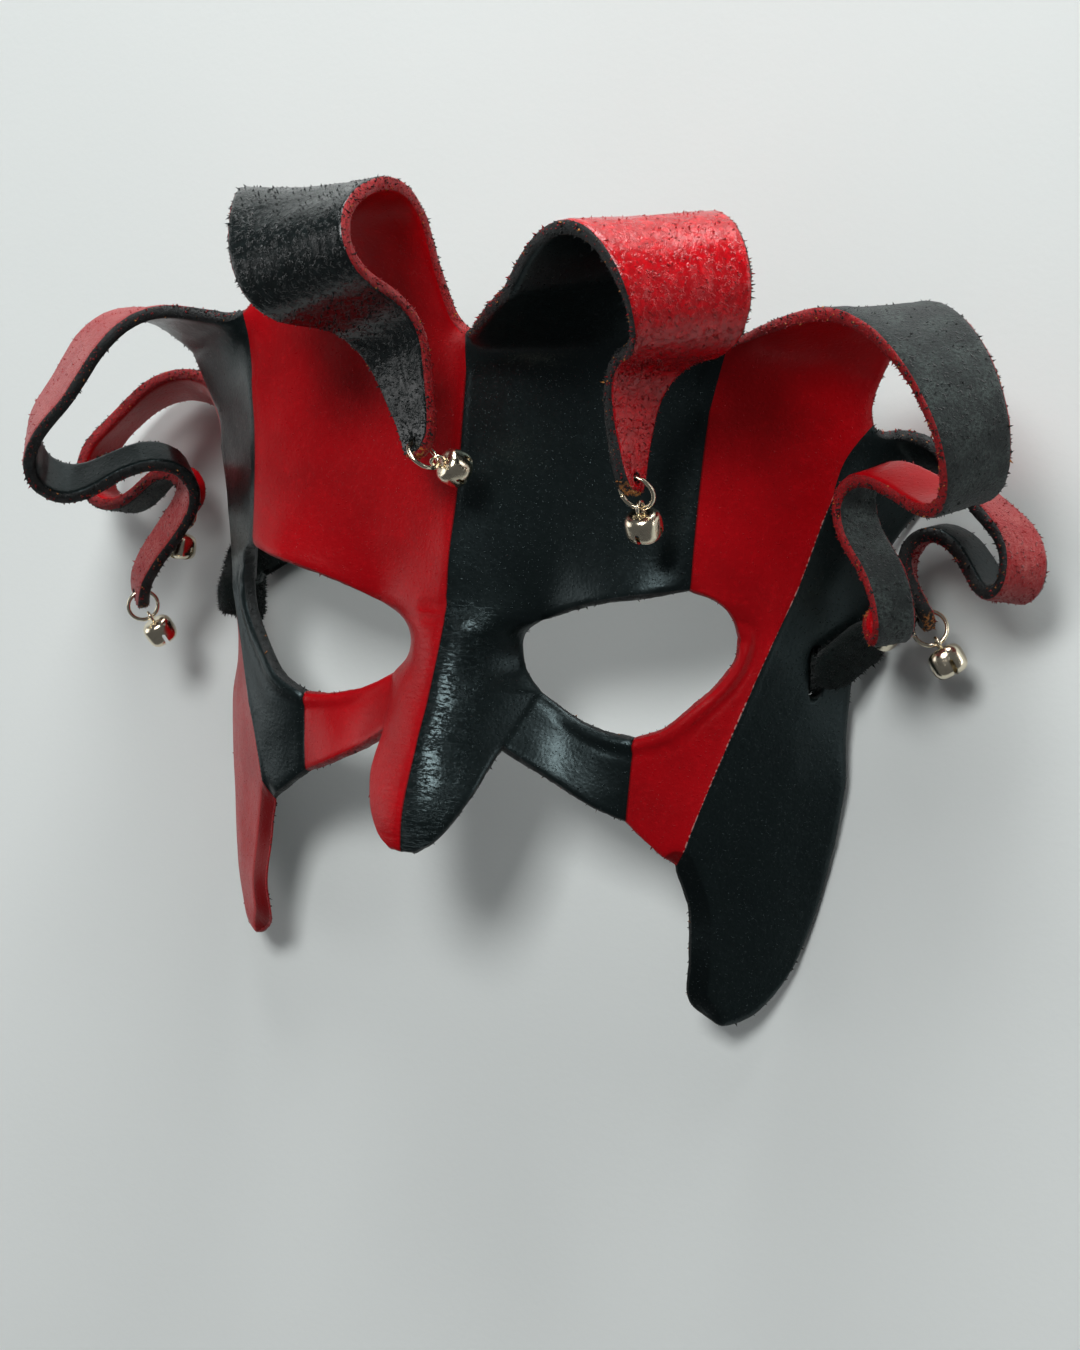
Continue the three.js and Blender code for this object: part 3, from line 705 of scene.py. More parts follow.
def ease_bends(sheet, edges):
    """Softens the bend where each horn leaves its panel, and the side panels' corners."""
    hair = chain(edges["hair_face"], edges["hair_brow"], edges["hair_side"])
    from_root = distance_to(sheet.points, np.vstack([hair[::-1] * MIRROR, hair]))
    gap = np.where(sheet.along_horn > 0, sheet.along_horn, from_root)
    ease = np.clip(1 - gap / ROOT_EASE, 0, 1)
    for corner, size in CORNER_EASE:
        for side in (1, MIRROR):
            away = np.linalg.norm(sheet.points - np.array(corner) * side, axis=1)
            ease = np.maximum(ease, np.clip(1 - away / size, 0, 1))
    for _ in range(EASE_TIMES):
        sheet.points += 0.5 * ease[:, None] * (sheet.averaged(sheet.points) - sheet.points)


def surface_numbers(sheet, edges):
    """What the finishes vary with, at each point of the sheet."""
    both = (1, MIRROR)
    scores = [edges[name] * side for side in both for name in ("score_high", "score_low")]
    seam = distance_to(sheet.points, chain(edges["ridge"], edges["centre"]), *scores)
    creases = [chain(edges["crease_low"], edges["crease_high"]) * side for side in both]
    crease = distance_to(sheet.points, *creases)
    bevel = distance_to(sheet.points, *[edges["flap_edge"] * side for side in both])
    on_horn = sheet.along_horn > 0
    return {
        "seam": np.where(on_horn, FAR_OFF + sheet.along_horn, seam),
        "crease": np.where(on_horn, FAR_OFF + sheet.along_horn, crease),
        "tip": sheet.near_tip,
        "bevel": np.where(on_horn, FAR_OFF, bevel),
        "nose": np.where(on_horn, 0, nose_weight(sheet.points)),
    }


def leather_sheet(settings):
    """The leather and its fibres, each as points, faces, finishes and numbers, and the horns."""
    thickness = settings.thickness / MM
    edges = half_edges(settings.fineness)
    sheet = Sheet()
    for rows, right, left in half_fields(edges):
        sheet.add(rows, right, "flesh side")
        sheet.add(mirrored(rows), left, "flesh side")
    horns = all_horns(edges, settings.horn_rows, thickness)
    for name, (rows, reach, _) in horns.items():
        rows = drawn_out(rows, reach, HORNS[name].get("straight_root", STRAIGHT_ROOT))
        sheet.add(rows, HORNS[name]["front"], HORNS[name]["back"], reach)
    sheet.freeze()
    ease_bends(sheet, edges)
    sheet.points += sheet.normals() * grain(sheet.points, WAVES)[:, None]

    # The back follows smoothed normals, so that it has no folds
    normals = sheet.normals()
    smooth = normals.copy()
    for _ in range(BACK_SMOOTHING):
        smooth = 0.5 * smooth + 0.5 * sheet.averaged(smooth)
        smooth /= np.linalg.norm(smooth, axis=1)[:, None]
    lean = np.clip((smooth * normals).sum(axis=1), LEAN_LIMIT, 1)
    back = sheet.points - smooth * (thickness / lean)[:, None]
    nap = np.zeros(len(sheet.points), bool)
    nap[sheet.faces[sheet.backs != FINISHES.index("flesh side")].ravel()] = True
    back -= smooth * (np.where(nap, 1.0, INSIDE_NAP_SHARE) * grain(back, COARSE_NAP))[:, None]
    back += smooth * (RIM_DROP * sheet.on_rim)[:, None]

    # Low relief on the smooth side
    numbers = surface_numbers(sheet, edges)
    fold = distance_to(sheet.points, np.array(NOSE_FOLD, float))
    front = sheet.points
    for rise in (
        -ridge(numbers["seam"], settings.score_depth / MM, SCORE_WIDTH),
        lip_height(sheet.points, edges, settings.lip_height / MM),
        ridge(numbers["crease"], *CREASE_RIDGE),
        -RIM_DROP * sheet.on_rim,
        ridge(fold, *FOLD_RIDGE) - ridge(fold, *FOLD_GROOVE),
        -FLAP_BEVEL_DEPTH * np.clip(1 - numbers["bevel"] / FLAP_BEVEL, 0, 1),
    ):
        front = front + normals * rise[:, None]

    # Rounded, slightly ragged cut edges
    run = unit_rows(sheet.points[sheet.rim[:, 1]] - sheet.points[sheet.rim[:, 0]])
    outward = np.zeros_like(sheet.points)
    for end in (0, 1):
        np.add.at(outward, sheet.rim[:, end], np.cross(run, smooth[sheet.rim[:, end]]))
    rim, count = sheet.rim_points, len(sheet.points)
    outward = unit_rows(outward[rim])
    points, layers = [front, back], [rim]
    for depth, bulge in CUT_SECTION:
        base = front[rim] * (1 - depth) + back[rim] * depth
        ragged = grain(base, RAGGED_CUT)
        layers.append(2 * count + (len(layers) - 1) * len(rim) + np.arange(len(rim)))
        points.append(base + outward * (bulge * (1 + 0.5 * ragged) + ragged)[:, None])
    layers.append(rim + count)
    a, b = sheet.rim_pairs[:, 0], sheet.rim_pairs[:, 1]
    walls = [np.stack([upper[b], upper[a], lower[a], lower[b]], axis=1)
             for upper, lower in zip(layers[:-1], layers[1:])]

    faces = np.vstack([sheet.faces, sheet.faces[:, ::-1] + count, *walls])
    finish = np.concatenate([sheet.fronts, sheet.backs, *[sheet.edge_finish] * len(walls)])
    for key, values in numbers.items():
        numbers[key] = np.concatenate([values, values, *[values[rim]] * len(CUT_SECTION)])
    loose = [edge_fibres(sheet, front[rim], back[rim], outward, settings.fibres),
             nap_crumbs(sheet, back, smooth, settings.crumbs)]
    fibres = (*joined([part[:2] for part in loose]),
              *(np.concatenate([part[k] for part in loose]) for k in (2, 3)))
    return (np.vstack(points), faces, finish, numbers), fibres, horns


def make_mesh(name, points, faces, finish=None, numbers=None):
    """A mesh in metres whose faces are smooth, with material slots and numbers on its points."""
    mesh = bpy.data.meshes.new(name)
    mesh.from_pydata([tuple(p) for p in points], [], [tuple(int(i) for i in f) for f in faces])
    if finish is not None:
        mesh.polygons.foreach_set("material_index", np.asarray(finish, np.int32))
    for key, values in (numbers or {}).items():
        values = np.asarray(values, np.float32)
        mesh.attributes.new(key, "FLOAT", "POINT").data.foreach_set("value", values)
    mesh.polygons.foreach_set("use_smooth", np.ones(len(faces), bool))
    mesh.update()
    if mesh.validate():
        raise RuntimeError(f"the mesh of {name} had faulty faces")
    return mesh


def parts_of(mesh):
    """A mesh's points and faces."""
    return np.array([v.co for v in mesh.vertices]), [tuple(p.vertices) for p in mesh.polygons]


def show(name, mesh, body, slot, *nodes):
    """A finished piece that rides on its body and stands for its solids."""
    piece = bpy.data.objects.new(name, mesh)
    bpy.context.scene.collection.objects.link(piece)
    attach(piece, body)
    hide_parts(*nodes)
    return piece


def cut_out(mesh, cutter):
    """The mesh with the closed cutter taken out of it, both in one unit."""
    work = bpy.data.objects.new("work", mesh)
    tool = bpy.data.objects.new("tool", cutter)
    for o in (work, tool):
        bpy.context.scene.collection.objects.link(o)
    modifier = work.modifiers.new("cut", "BOOLEAN")
    modifier.operation = "DIFFERENCE"
    modifier.solver = "EXACT"
    modifier.object = tool
    bpy.context.view_layer.update()
    evaluated = work.evaluated_get(bpy.context.evaluated_depsgraph_get())
    result = bpy.data.meshes.new_from_object(evaluated)
    for o in (work, tool):
        bpy.data.objects.remove(o)
    return result


def with_fibres(name, mesh, fibres):
    """The mesh again, with the fibres of its cut edges added."""
    extra, extra_faces, extra_finish, raw = fibres
    points, faces = parts_of(mesh)
    numbers = {key: np.empty(len(points), np.float32) for key in NUMBERS}
    for key, values in numbers.items():
        mesh.attributes[key].data.foreach_get("value", values)
    new_rim = (numbers["seam"] == 0) & (numbers["crease"] == 0)
    for key, values in numbers.items():
        added = np.full(len(extra), 0.0 if key == "nose" else FAR_OFF)
        if key != "nose":
            values[new_rim] = FAR_OFF
        numbers[key] = np.concatenate([values, np.repeat(raw, 4) if key == "tip" else added])
    faces += [tuple(int(i) + len(points) for i in f) for f in extra_faces]
    finish = [p.material_index for p in mesh.polygons] + list(np.repeat(extra_finish, 4))
    return make_mesh(name, np.vstack([points, laid(extra)]), faces, finish, numbers)


def prism(outline, height, at, x, y, z):
    """A closed straight prism on an outline in x and y, standing along z about its middle."""
    outline = np.asarray(outline, float)
    n = len(outline)
    low = at + outline[:, :1] * x + outline[:, 1:] * y - z * height / 2
    points = np.vstack([low, low + z * height])
    sides = [(k, (k + 1) % n, (k + 1) % n + n, k + n) for k in range(n)]
    return points, [tuple(range(n))[::-1], *sides, tuple(range(n, 2 * n))]


def circle(radius, steps):
    """A round outline in x and y."""
    turn = np.arange(steps) * 2 * math.pi / steps
    return np.stack([radius * np.cos(turn), radius * np.sin(turn)], axis=1)


def slot_outline(width, height, steps=6):
    """An upright slot with rounded corners."""
    corner = width * SLOT_ROUNDING
    arc = np.linspace(0, math.pi / 2, steps)
    middle = (width / 2 - corner, height / 2 - corner)
    quarter = np.stack([np.cos(arc), np.sin(arc)], axis=1) * corner + middle
    return np.vstack([quarter, (quarter * (-1, 1))[::-1],
                      quarter * (-1, -1), (quarter * (1, -1))[::-1]])


def slot_frame():
    """Directions at the right slot: back along the panel, up it and out of it."""
    out = unit(SLOT_OUT)
    back = unit(np.cross((0, 1, 0), out))
    return back, np.cross(out, back), out


def joined(parts):
    """Several closed shapes as one list of points and faces."""
    points, faces, count = [], [], 0
    for part_points, part_faces in parts:
        points.append(part_points)
        faces += [tuple(int(i) + count for i in f) for f in part_faces]
        count += len(part_points)
    return np.vstack(points), faces


class Value:
    """A number or colour on a surface; sums of numbers are written as plain Python."""

    def __init__(self, finish, socket):
        self.finish = finish
        self.socket = socket

    def sum(self, operation, *others):
        return self.finish.add("ShaderNodeMath", {"operation": operation}, dict(enumerate(others)))

    def __add__(self, other):
        return self.sum("ADD", self, other)

    def __radd__(self, other):
        return self.sum("ADD", other, self)

    def __sub__(self, other):
        return self.sum("SUBTRACT", self, other)

    def __rsub__(self, other):
        return self.sum("SUBTRACT", other, self)

    def __mul__(self, other):
        return self.sum("MULTIPLY", self, other)

    def __rmul__(self, other):
        return self.sum("MULTIPLY", other, self)


class Finish:
    """One material, whose nodes are added by the values that they work on."""

    def __init__(self, name, **constant):
        self.material = bpy.data.materials.new(name)
        self.material.use_nodes = True
        self.nodes = self.material.node_tree.nodes
        self.links = self.material.node_tree.links
        self.surface = self.nodes["Principled BSDF"]
        for key, value in constant.items():
            socket = self.surface.inputs[key.replace("_", " ")]
            socket.default_value = (*value, 1) if isinstance(value, tuple) else value

    def add(self, kind, settings=None, inputs=None, output=0):
        """A node of one type: its settings first, then the values or links of its sockets."""
        node = self.nodes.new(kind)
        for key, value in (settings or {}).items():
            setattr(node, key, value)
        for key, value in (inputs or {}).items():
            if isinstance(value, Value):
                self.links.new(value.socket, node.inputs[key])
            elif value is not None:
                node.inputs[key].default_value = value
        return Value(self, node.outputs[output])

    def place(self, shift=(0, 0, 0)):
        """The place on the object, shifted so that two textures don't match."""
        on_object = self.add("ShaderNodeTexCoord", output="Object")
        return self.add("ShaderNodeVectorMath", {"operation": "ADD"}, {0: on_object, 1: shift})

    def cloud(self, size, detail=3.0, roughness=0.55, shift=(0, 0, 0), stretch=None):
        """Soft noise about 0.5, of a size in millimetres."""
        where = self.place(shift)
        if stretch:
            where = self.add("ShaderNodeVectorMath", {"operation": "MULTIPLY"},
                             {0: where, 1: stretch})
        return self.add("ShaderNodeTexNoise", None, {
            "Vector": where, "Scale": 1 / (size * MM), "Detail": detail, "Roughness": roughness})

    def pebbles(self, size):
        """Rounded cells, 0 at their middles, of a size in millimetres."""
        return self.add("ShaderNodeTexVoronoi", {"feature": "SMOOTH_F1"}, {
            "Vector": self.place(), "Scale": 1 / (size * MM), "Smoothness": 0.6})

    def number(self, name):
        """One of the numbers on the mesh's points."""
        return self.add("ShaderNodeAttribute", {"attribute_name": name}, output="Fac")

    def between(self, value, low, high):
        """0 below low, 1 above high and smooth between them."""
        return self.add("ShaderNodeMapRange", {"interpolation_type": "SMOOTHSTEP"}, {
            "Value": value, "From Min": low, "From Max": high})

    def mixed(self, share, first, second):
        """One colour turning into another."""
        colours = {key: (*value, 1) if isinstance(value, tuple) else value
                   for key, value in ((6, first), (7, second))}
        return self.add("ShaderNodeMix", {"data_type": "RGBA"}, {0: share, **colours}, output=2)

    def bump(self, height, distance, under=None):
        """A bumped normal; distance is in millimetres."""
        return self.add("ShaderNodeBump", None, {
            "Height": height, "Distance": distance * MM, "Normal": under})

    def wear(self, **varying):
        """Joins what varies over the surface to the shader and gives the material."""
        for key, value in varying.items():
            self.links.new(value.socket, self.surface.inputs[key.replace("_", " ")])
        return self.material


def shade(colour, factor):
    """A colour made lighter or darker."""
    return tuple(c * factor for c in colour)


def smooth_leather(name, dye, deep, wear_and_highlight, gloss, wrinkled, shine, tint):
    """Dyed grain leather: fine pebbles, cloudy dye, and along the creases paler worn leather with a
    painted highlight.
    """
    f = Finish(name, Specular_IOR_Level=shine, Specular_Tint=tint)
    cloud = f.cloud(14, 4)
    fine = f.cloud(1.3, 2, shift=(0.3, 0.1, 0))
    colour = f.mixed(f.between(cloud, 0.3, 0.75) * 0.6, dye, deep)
    colour = f.mixed(f.between(fine, 0.52, 0.75) * 0.25, colour, shade(dye, 1.5))
    # Along the creases the colour turns paler in rubbed dots: worn leather, with a painted
    # highlight on the abraded edge.
    crease = 1 - f.between(f.number("crease"), 0.08, 0.24)
    rubbed_and_highlight_dots = f.between(f.cloud(0.8, 2, shift=(0, 0.7, 0)), 0.44, 0.6)
    colour = f.mixed(crease * rubbed_and_highlight_dots, colour, wear_and_highlight)
    # Darker along the scored lines: painted shade in the grooves.
    score_groove_shade = 1 - f.between(f.number("seam"), 0.1, 0.5)
    colour = f.mixed(score_groove_shade * 0.75, colour, shade(deep, 0.35))
    slant = 1 - f.between(f.number("bevel"), 3.2, 3.9)
    colour = f.mixed(slant, colour, shade(deep, 0.6))
    glint = f.between(f.cloud(0.5, 1, shift=(0.6, 0.2, 0.1)), 0.64, 0.74)
    roughness = gloss + f.between(fine, 0.3, 0.7) * 0.06 + f.between(cloud, 0.3, 0.7) * 0.05
    roughness = roughness - glint * 0.16 - 0.1 * f.number("nose") * wrinkled
    creases = f.between(f.cloud(3.2, 4, 0.6, shift=(0.5, 0, 0.2)), 0.5, 0.62)
    height = f.pebbles(0.75) * 0.8 + f.cloud(0.45, 2) * 0.5 + creases * 0.3 + glint * 1.1
    wrinkles = f.cloud(1.7, 5, 0.65, shift=(0.2, 0.2, 0), stretch=(0.3, 1.5, 1))
    lines = f.between(wrinkles, 0.46, 0.56) + wrinkles * 0.6
    wrinkled_nose = f.bump(lines * f.number("nose") * wrinkled, 0.12)
    return f.wear(Base_Color=colour, Roughness=roughness,
                  Normal=f.bump(height, 0.038, wrinkled_nose))


def lacquered_suede(name, dye, light):
    """The nap side under a hard lacquer, which sparkles on every fibre."""
    f = Finish(name, IOR=1.5)
    coarse = f.cloud(1.5, 6, 0.75)
    blotch = f.cloud(7, 3, shift=(0.2, 0, 0))
    colour = f.mixed(f.between(coarse, 0.4, 0.7), shade(dye, 0.7), light)
    roughness = 0.1 + f.between(blotch, 0.35, 0.65) * 0.1
    dents = f.between(f.cloud(1.1, 3, 0.6, shift=(0, 0.4, 0)), 0.5, 0.68)
    height = coarse * 0.7 + dents * 0.8 + f.cloud(0.5, 2, shift=(0.4, 0, 0)) * 0.3
    folds = f.bump(f.cloud(5.5, 2, 0.5, shift=(0.1, 0, 0.5), stretch=(0.5, 1, 1)), 0.45)
    return f.wear(Base_Color=colour, Roughness=roughness, Normal=f.bump(height, 0.12, folds))


def matt_suede(name, dye, light, sheen):
    """A short dry nap, paler where the fibres stand up."""
    f = Finish(name, Sheen_Weight=sheen, Sheen_Roughness=0.5, IOR=1.4)
    fibre = f.cloud(0.6, 5, 0.75)
    blotch = f.cloud(6, 3, shift=(0.2, 0.6, 0))
    crumbs = f.between(f.cloud(0.9, 2, 0.6, shift=(0.3, 0.5, 0)), 0.6, 0.7)
    share = f.between(fibre, 0.36, 0.68) * (0.25 + 0.75 * f.between(blotch, 0.38, 0.62))
    colour = f.mixed(crumbs * 0.75, f.mixed(share, dye, light), shade(dye, 0.5))
    height = fibre + f.cloud(1.8, 3, shift=(0.1, 0, 0.4)) * 0.5 + crumbs * 0.9
    return f.wear(Base_Color=colour, Roughness=0.78 + 0.15 * fibre, Normal=f.bump(height, 0.3))


def cut_edge(name, dye, light):
    """A cut and dyed edge: ragged fibres, with raw leather showing at the tips."""
    f = Finish(name, IOR=1.45)
    fibre = f.cloud(0.5, 5, 0.75)
    blotch = f.cloud(2.5, 3, shift=(0, 0, 0.4))
    colour = f.mixed(f.between(fibre, 0.42, 0.7), shade(dye, 0.6), light)
    near_tip = 1 - f.between(f.number("tip"), 0.4, 2.2)
    wear_and_highlight = f.between(f.cloud(0.8, 2, shift=(0, 0.2, 0.4)), 0.46, 0.58)
    colour = f.mixed(near_tip * wear_and_highlight, colour, RAW)
    roughness = 0.34 + 0.3 * f.between(blotch, 0.35, 0.65)
    height = fibre + f.cloud(1.2, 3) * 0.8
    return f.wear(Base_Color=colour, Roughness=roughness, Normal=f.bump(height, 0.26))


def flesh_side(name, dye):
    """The plain dyed inside, against the skin."""
    f = Finish(name, Sheen_Weight=0.15, IOR=1.4)
    fibre = f.cloud(0.9, 5, 0.7)
    blotch = f.cloud(16, 3)
    colour = f.mixed(f.between(blotch, 0.35, 0.65), dye, shade(dye, 2.2))
    colour = f.mixed(f.between(fibre, 0.5, 0.75) * 0.4, colour, shade(dye, 3.5))
    return f.wear(Base_Color=colour, Roughness=0.72 + 0.2 * fibre, Normal=f.bump(fibre, 0.2))


def plated_metal(name, colour):
    """Warm bright nickel with hairline scratches and a few dull spots."""
    f = Finish(name, Metallic=1.0)
    scratches = f.cloud(0.25, 3, 0.6, stretch=(1, 6, 1))
    spots = f.cloud(1.6, 4, 0.6, shift=(0.3, 0.3, 0))
    tone = f.mixed(f.between(spots, 0.55, 0.72), colour, shade(colour, 0.72))
    roughness = 0.12 + 0.1 * scratches + 0.14 * f.between(spots, 0.55, 0.75)
    return f.wear(Base_Color=tone, Roughness=roughness, Normal=f.bump(scratches, 0.012))


def strap_suede(name, dye):
    """Black suede with a long soft nap."""
    f = Finish(name, Sheen_Weight=0.08, Sheen_Roughness=0.45, IOR=1.25)
    fibre = f.cloud(0.55, 6, 0.75)
    brushed = f.cloud(3.5, 3, shift=(0, 0.3, 0.3))
    share = f.between(fibre, 0.4, 0.7) * (0.5 + 0.5 * f.between(brushed, 0.35, 0.65))
    colour = f.mixed(share, dye, shade(dye, 2.4))
    height = fibre + brushed * 0.4
    return f.wear(Base_Color=colour, Roughness=0.85 + 0.1 * fibre, Normal=f.bump(height, 0.35))


def floor_paper(name, colour):
    """Plain pale paper."""
    f = Finish(name, IOR=1.3)
    tooth = f.cloud(1.5, 4)
    cloud = f.cloud(160, 2)
    tone = f.mixed(f.between(cloud, 0.3, 0.7), colour, shade(colour, 0.97))
    return f.wear(Base_Color=tone, Roughness=0.75 + 0.1 * tooth, Normal=f.bump(tooth, 0.03))


def leather_finishes(red, black):
    """The leather's materials, in the order of its slots."""
    finishes = {
        # Each smooth leather's third colour is its paler crease wear with a painted highlight.
        "red": smooth_leather("red leather", red, shade(red, 0.62), (0.62, 0.25, 0.22),
                              0.3, 0.25, 0.2, (1, 0.7, 0.68)),
        "black": smooth_leather("black leather", black, shade(black, 0.5), (0.2, 0.17, 0.17),
                                0.27, 1.0, 0.34, (0.72, 0.96, 1)),
        "red lacquer": lacquered_suede("red lacquered suede", shade(red, 1.2), shade(red, 1.5)),
        "black lacquer": lacquered_suede("black lacquered suede", black, shade(black, 1.6)),
        "red suede": matt_suede("red suede", shade(red, 0.7), (0.42, 0.09, 0.08), 0.25),
        "black suede": matt_suede("black suede", shade(black, 1.2), (0.055, 0.074, 0.068), 0.17),
        "flesh side": flesh_side("flesh side", shade(black, 1.2)),
        "red edge": cut_edge("red cut edge", shade(red, 0.8), shade(red, 1.15)),
        "black edge": cut_edge("black cut edge", black, shade(black, 2)),
    }
    return [finishes[name] for name in FINISHES]


def tube_faces(steps, sides, outward=True):
    """Faces of a closed tube of points, row after row, with both its ends."""
    faces = []
    for k in range(steps):
        for s in range(sides):
            a, b = k * sides + s, k * sides + (s + 1) % sides
            faces.append((a, a + sides, b + sides, b) if outward else (a, b, b + sides, a + sides))
    ends = [tuple(range(sides)), tuple(steps * sides + s for s in range(sides))[::-1]]
    return faces + (ends if outward else [end[::-1] for end in ends])


def tube_ring(radius, wire, gap_degrees, steps=72, sides=14):
    """A round wire bent into a ring in x and y, its two ends almost meeting at the top."""
    gap = math.radians(gap_degrees)
    rim = circle(wire, sides)
    points = []
    for a in math.pi / 2 + gap / 2 + np.linspace(0, 2 * math.pi - gap, steps + 1):
        out = np.array([math.cos(a), math.sin(a), 0])
        points.append(out * radius + rim[:, :1] * out + rim[:, 1:] * np.array([0, 0, 1]))
    return np.vstack(points), tube_faces(steps, sides)


def placed(points, at, x, y, z):
    """Points of a shape whose own x, y and z point along the given directions."""
    return at + points @ np.stack([x, y, z])


def ring_place(tip, swing):
    """Where a jump ring sits in its tip, and its axes."""
    turn = math.radians(swing)
    reach = tip["along"] * math.cos(turn) + tip["across"] * math.sin(turn)
    centre = tip["at"] + reach * RING_GRIP
    return centre, reach, tip["normal"], np.cross(reach, tip["normal"])


def bell_barrel(radius, height, steps, rows=31):
    """The turned barrel of a bell about y, with a rolled seam round its middle."""
    points, faces = [(0, -height / 2, 0)], []
    for a in np.linspace(-math.pi / 2, math.pi / 2, rows + 2)[1:-1]:
        r = radius * math.cos(a) ** BELL_FULLNESS
        y = height / 2 * math.copysign(abs(math.sin(a)) ** BELL_FULLNESS, a)
        low = min(1, max(0, 0.5 - y / height))
        for turn in 2 * math.pi * np.arange(steps) / steps:
            square = 1 + BELL_SQUARENESS * low * -math.cos(4 * turn)
            out = r * square + ridge(y, *BELL_SEAM)
            points.append((out * math.cos(turn), y, out * math.sin(turn)))
    points.append((0, height / 2, 0))
    top = len(points) - 1
    for k in range(steps):
        n = (k + 1) % steps
        faces += [(0, 1 + k, 1 + n), (top, top - steps + n, top - steps + k)]
        for row in range(rows - 1):
            a, b = 1 + row * steps + k, 1 + row * steps + n
            faces.append((a, a + steps, b + steps, b))
    return np.array(points, float), faces


def bell_shape(settings):
    """A hollow jingle bell about its own y axis, cut by two crossed slots, with its wire eye."""
    radius, height, wall = (v / MM for v in (settings.radius, settings.height, settings.wall))
    body = make_mesh("bell", *bell_barrel(radius, height, 64))
    body = cut_out(body, make_mesh("inside", *bell_barrel(radius - wall, height - 2 * wall, 48)))
    width, top = settings.slot_width / MM, settings.slot_top / MM
    arc = np.linspace(0, math.pi, 9)
    outline = np.vstack([
        np.stack([np.cos(arc) * width / 2, np.sin(arc) * width / 2 + top], axis=1),
        [(-width / 2, -height), (width / 2, -height)]])
    x, y, z = np.eye(3)
    for across, through_bell in ((x, z), (-z, x)):
        slot = prism(outline, radius * 3, np.zeros(3), across, y, through_bell)
        body = cut_out(body, make_mesh("slot", *slot))
    eye, eye_faces = tube_ring(settings.eye_radius / MM, settings.eye_wire / MM,
                               EYE_GAP_DEGREES, 32, 10)
    return joined([parts_of(body), (eye + (0, height / 2 + BELL_EYE_RISE, 0), eye_faces)])


def bell_place(ring_centre, ring_axis, ring_radius, bell_height):
    """Where a bell hangs from its ring, and its axes."""
    droop = math.radians(BELL_DROOP)
    down = np.array([0, -math.cos(droop), -math.sin(droop)])
    down = unit(down - ring_axis * np.dot(down, ring_axis))
    wire = np.cross(ring_axis, down)
    middle = ring_centre + down * (ring_radius + BELL_EYE_RISE + bell_height / 2)
    return middle, np.cross(-down, wire), -down, wire


def strap_route(thickness):
    """The strap's middle line and outward directions on the laid mask, from right tab to left."""
    back, up, out = slot_frame()
    beside = [(SLOT_CENTRE + back * h + up * v + out * w, back * facing_back + out * facing_out)
              for h, v, w, facing_back, facing_out in STRAP_BESIDE]
    right, left = ([(laid(at * side) / MM, laid_direction(facing * side)) for at, facing in beside]
                   for side in (1, MIRROR))
    height = thickness / 2 + STRAP_LIFT
    down = np.array([0, 0, -1.0])
    under = [[(np.array([REST_SHIFT[0] + side * x, y, height + rise]), down)
              for x, y, rise in STRAP_UNDER] for side in (1, -1)]
    return right + under[0] + under[1][::-1][1:] + left[::-1]


def strap_shape(settings):
    """The ribbon with rounded edges and closed ends, in laid millimetres."""
    width, thickness = settings.width / MM, settings.thickness / MM
    route = strap_route(thickness)
    line = np.array([at for at, _ in route])
    facings = np.array([unit(facing) for _, facing in route])
    last = len(route) - 1
    steps = last * settings.steps

    # Half the section is the smooth face and half the back, both thinning at the edges
    upper = np.linspace(-1, 1, STRAP_ACROSS_POINTS)
    rounding = thickness * STRAP_ROUNDING
    inside = np.clip((np.abs(upper) * width / 2 - (width / 2 - rounding)) / rounding, 0, 1)
    edge = np.sqrt(np.clip(1 - inside ** 2, 0, 1))
    section = np.vstack([
        np.stack([upper * width / 2, thickness / 2 * edge], axis=1),
        np.stack([upper * width / 2, -thickness / 2 * edge], axis=1)[::-1][1:-1],
    ])
    dome = np.zeros(len(section))
    dome[:STRAP_ACROSS_POINTS] = np.sqrt(1 - np.abs(upper) ** 3)
    points = []
    for i in range(steps + 1):
        t = i / steps
        place = t * last
        from_end = min(place, last - place)
        swell = STRAP_SWELL * np.interp(from_end, STRAP_SWOLLEN, (0, 1, 1, 0))
        narrow = np.interp(from_end, STRAP_NARROW, STRAP_NARROW_SHARES)
        before = min(int(place), last - 1)
        w = place - before
        facing = unit(facings[before] * (1 - w) + facings[before + 1] * w)
        ahead = curve_point(line, min(t + 1e-4, 1)) - curve_point(line, max(t - 1e-4, 0))
        right = unit(np.cross(ahead, facing))
        points.append(curve_point(line, t) + section[:, :1] * narrow * right
                      + (section[:, 1:] + swell * dome[:, None]) * facing)
    return np.vstack(points), tube_faces(steps, len(section), outward=False)


def length_of(name, description, default, **limits):
    """A length that a user can change."""
    return bpy.props.FloatProperty(
        name=name, description=description, default=default, unit="LENGTH", **limits)


def number_of(name, description, default, **limits):
    """A plain number that a user can change."""
    return bpy.props.FloatProperty(
        name=name, description=description, default=default, **limits)


def count_of(name, description, default, **limits):
    """A whole number that a user can change."""
    return bpy.props.IntProperty(name=name, description=description, default=default, **limits)


def power_of(name, description, default):
    """A lamp's power."""
    return bpy.props.FloatProperty(
        name=name, description=description, default=default, min=0, unit="POWER")


def colour_of(name, description, default):
    """A dye or another colour."""
    return bpy.props.FloatVectorProperty(
        name=name, description=description, default=default, size=3, min=0, max=1,
        subtype="COLOR")


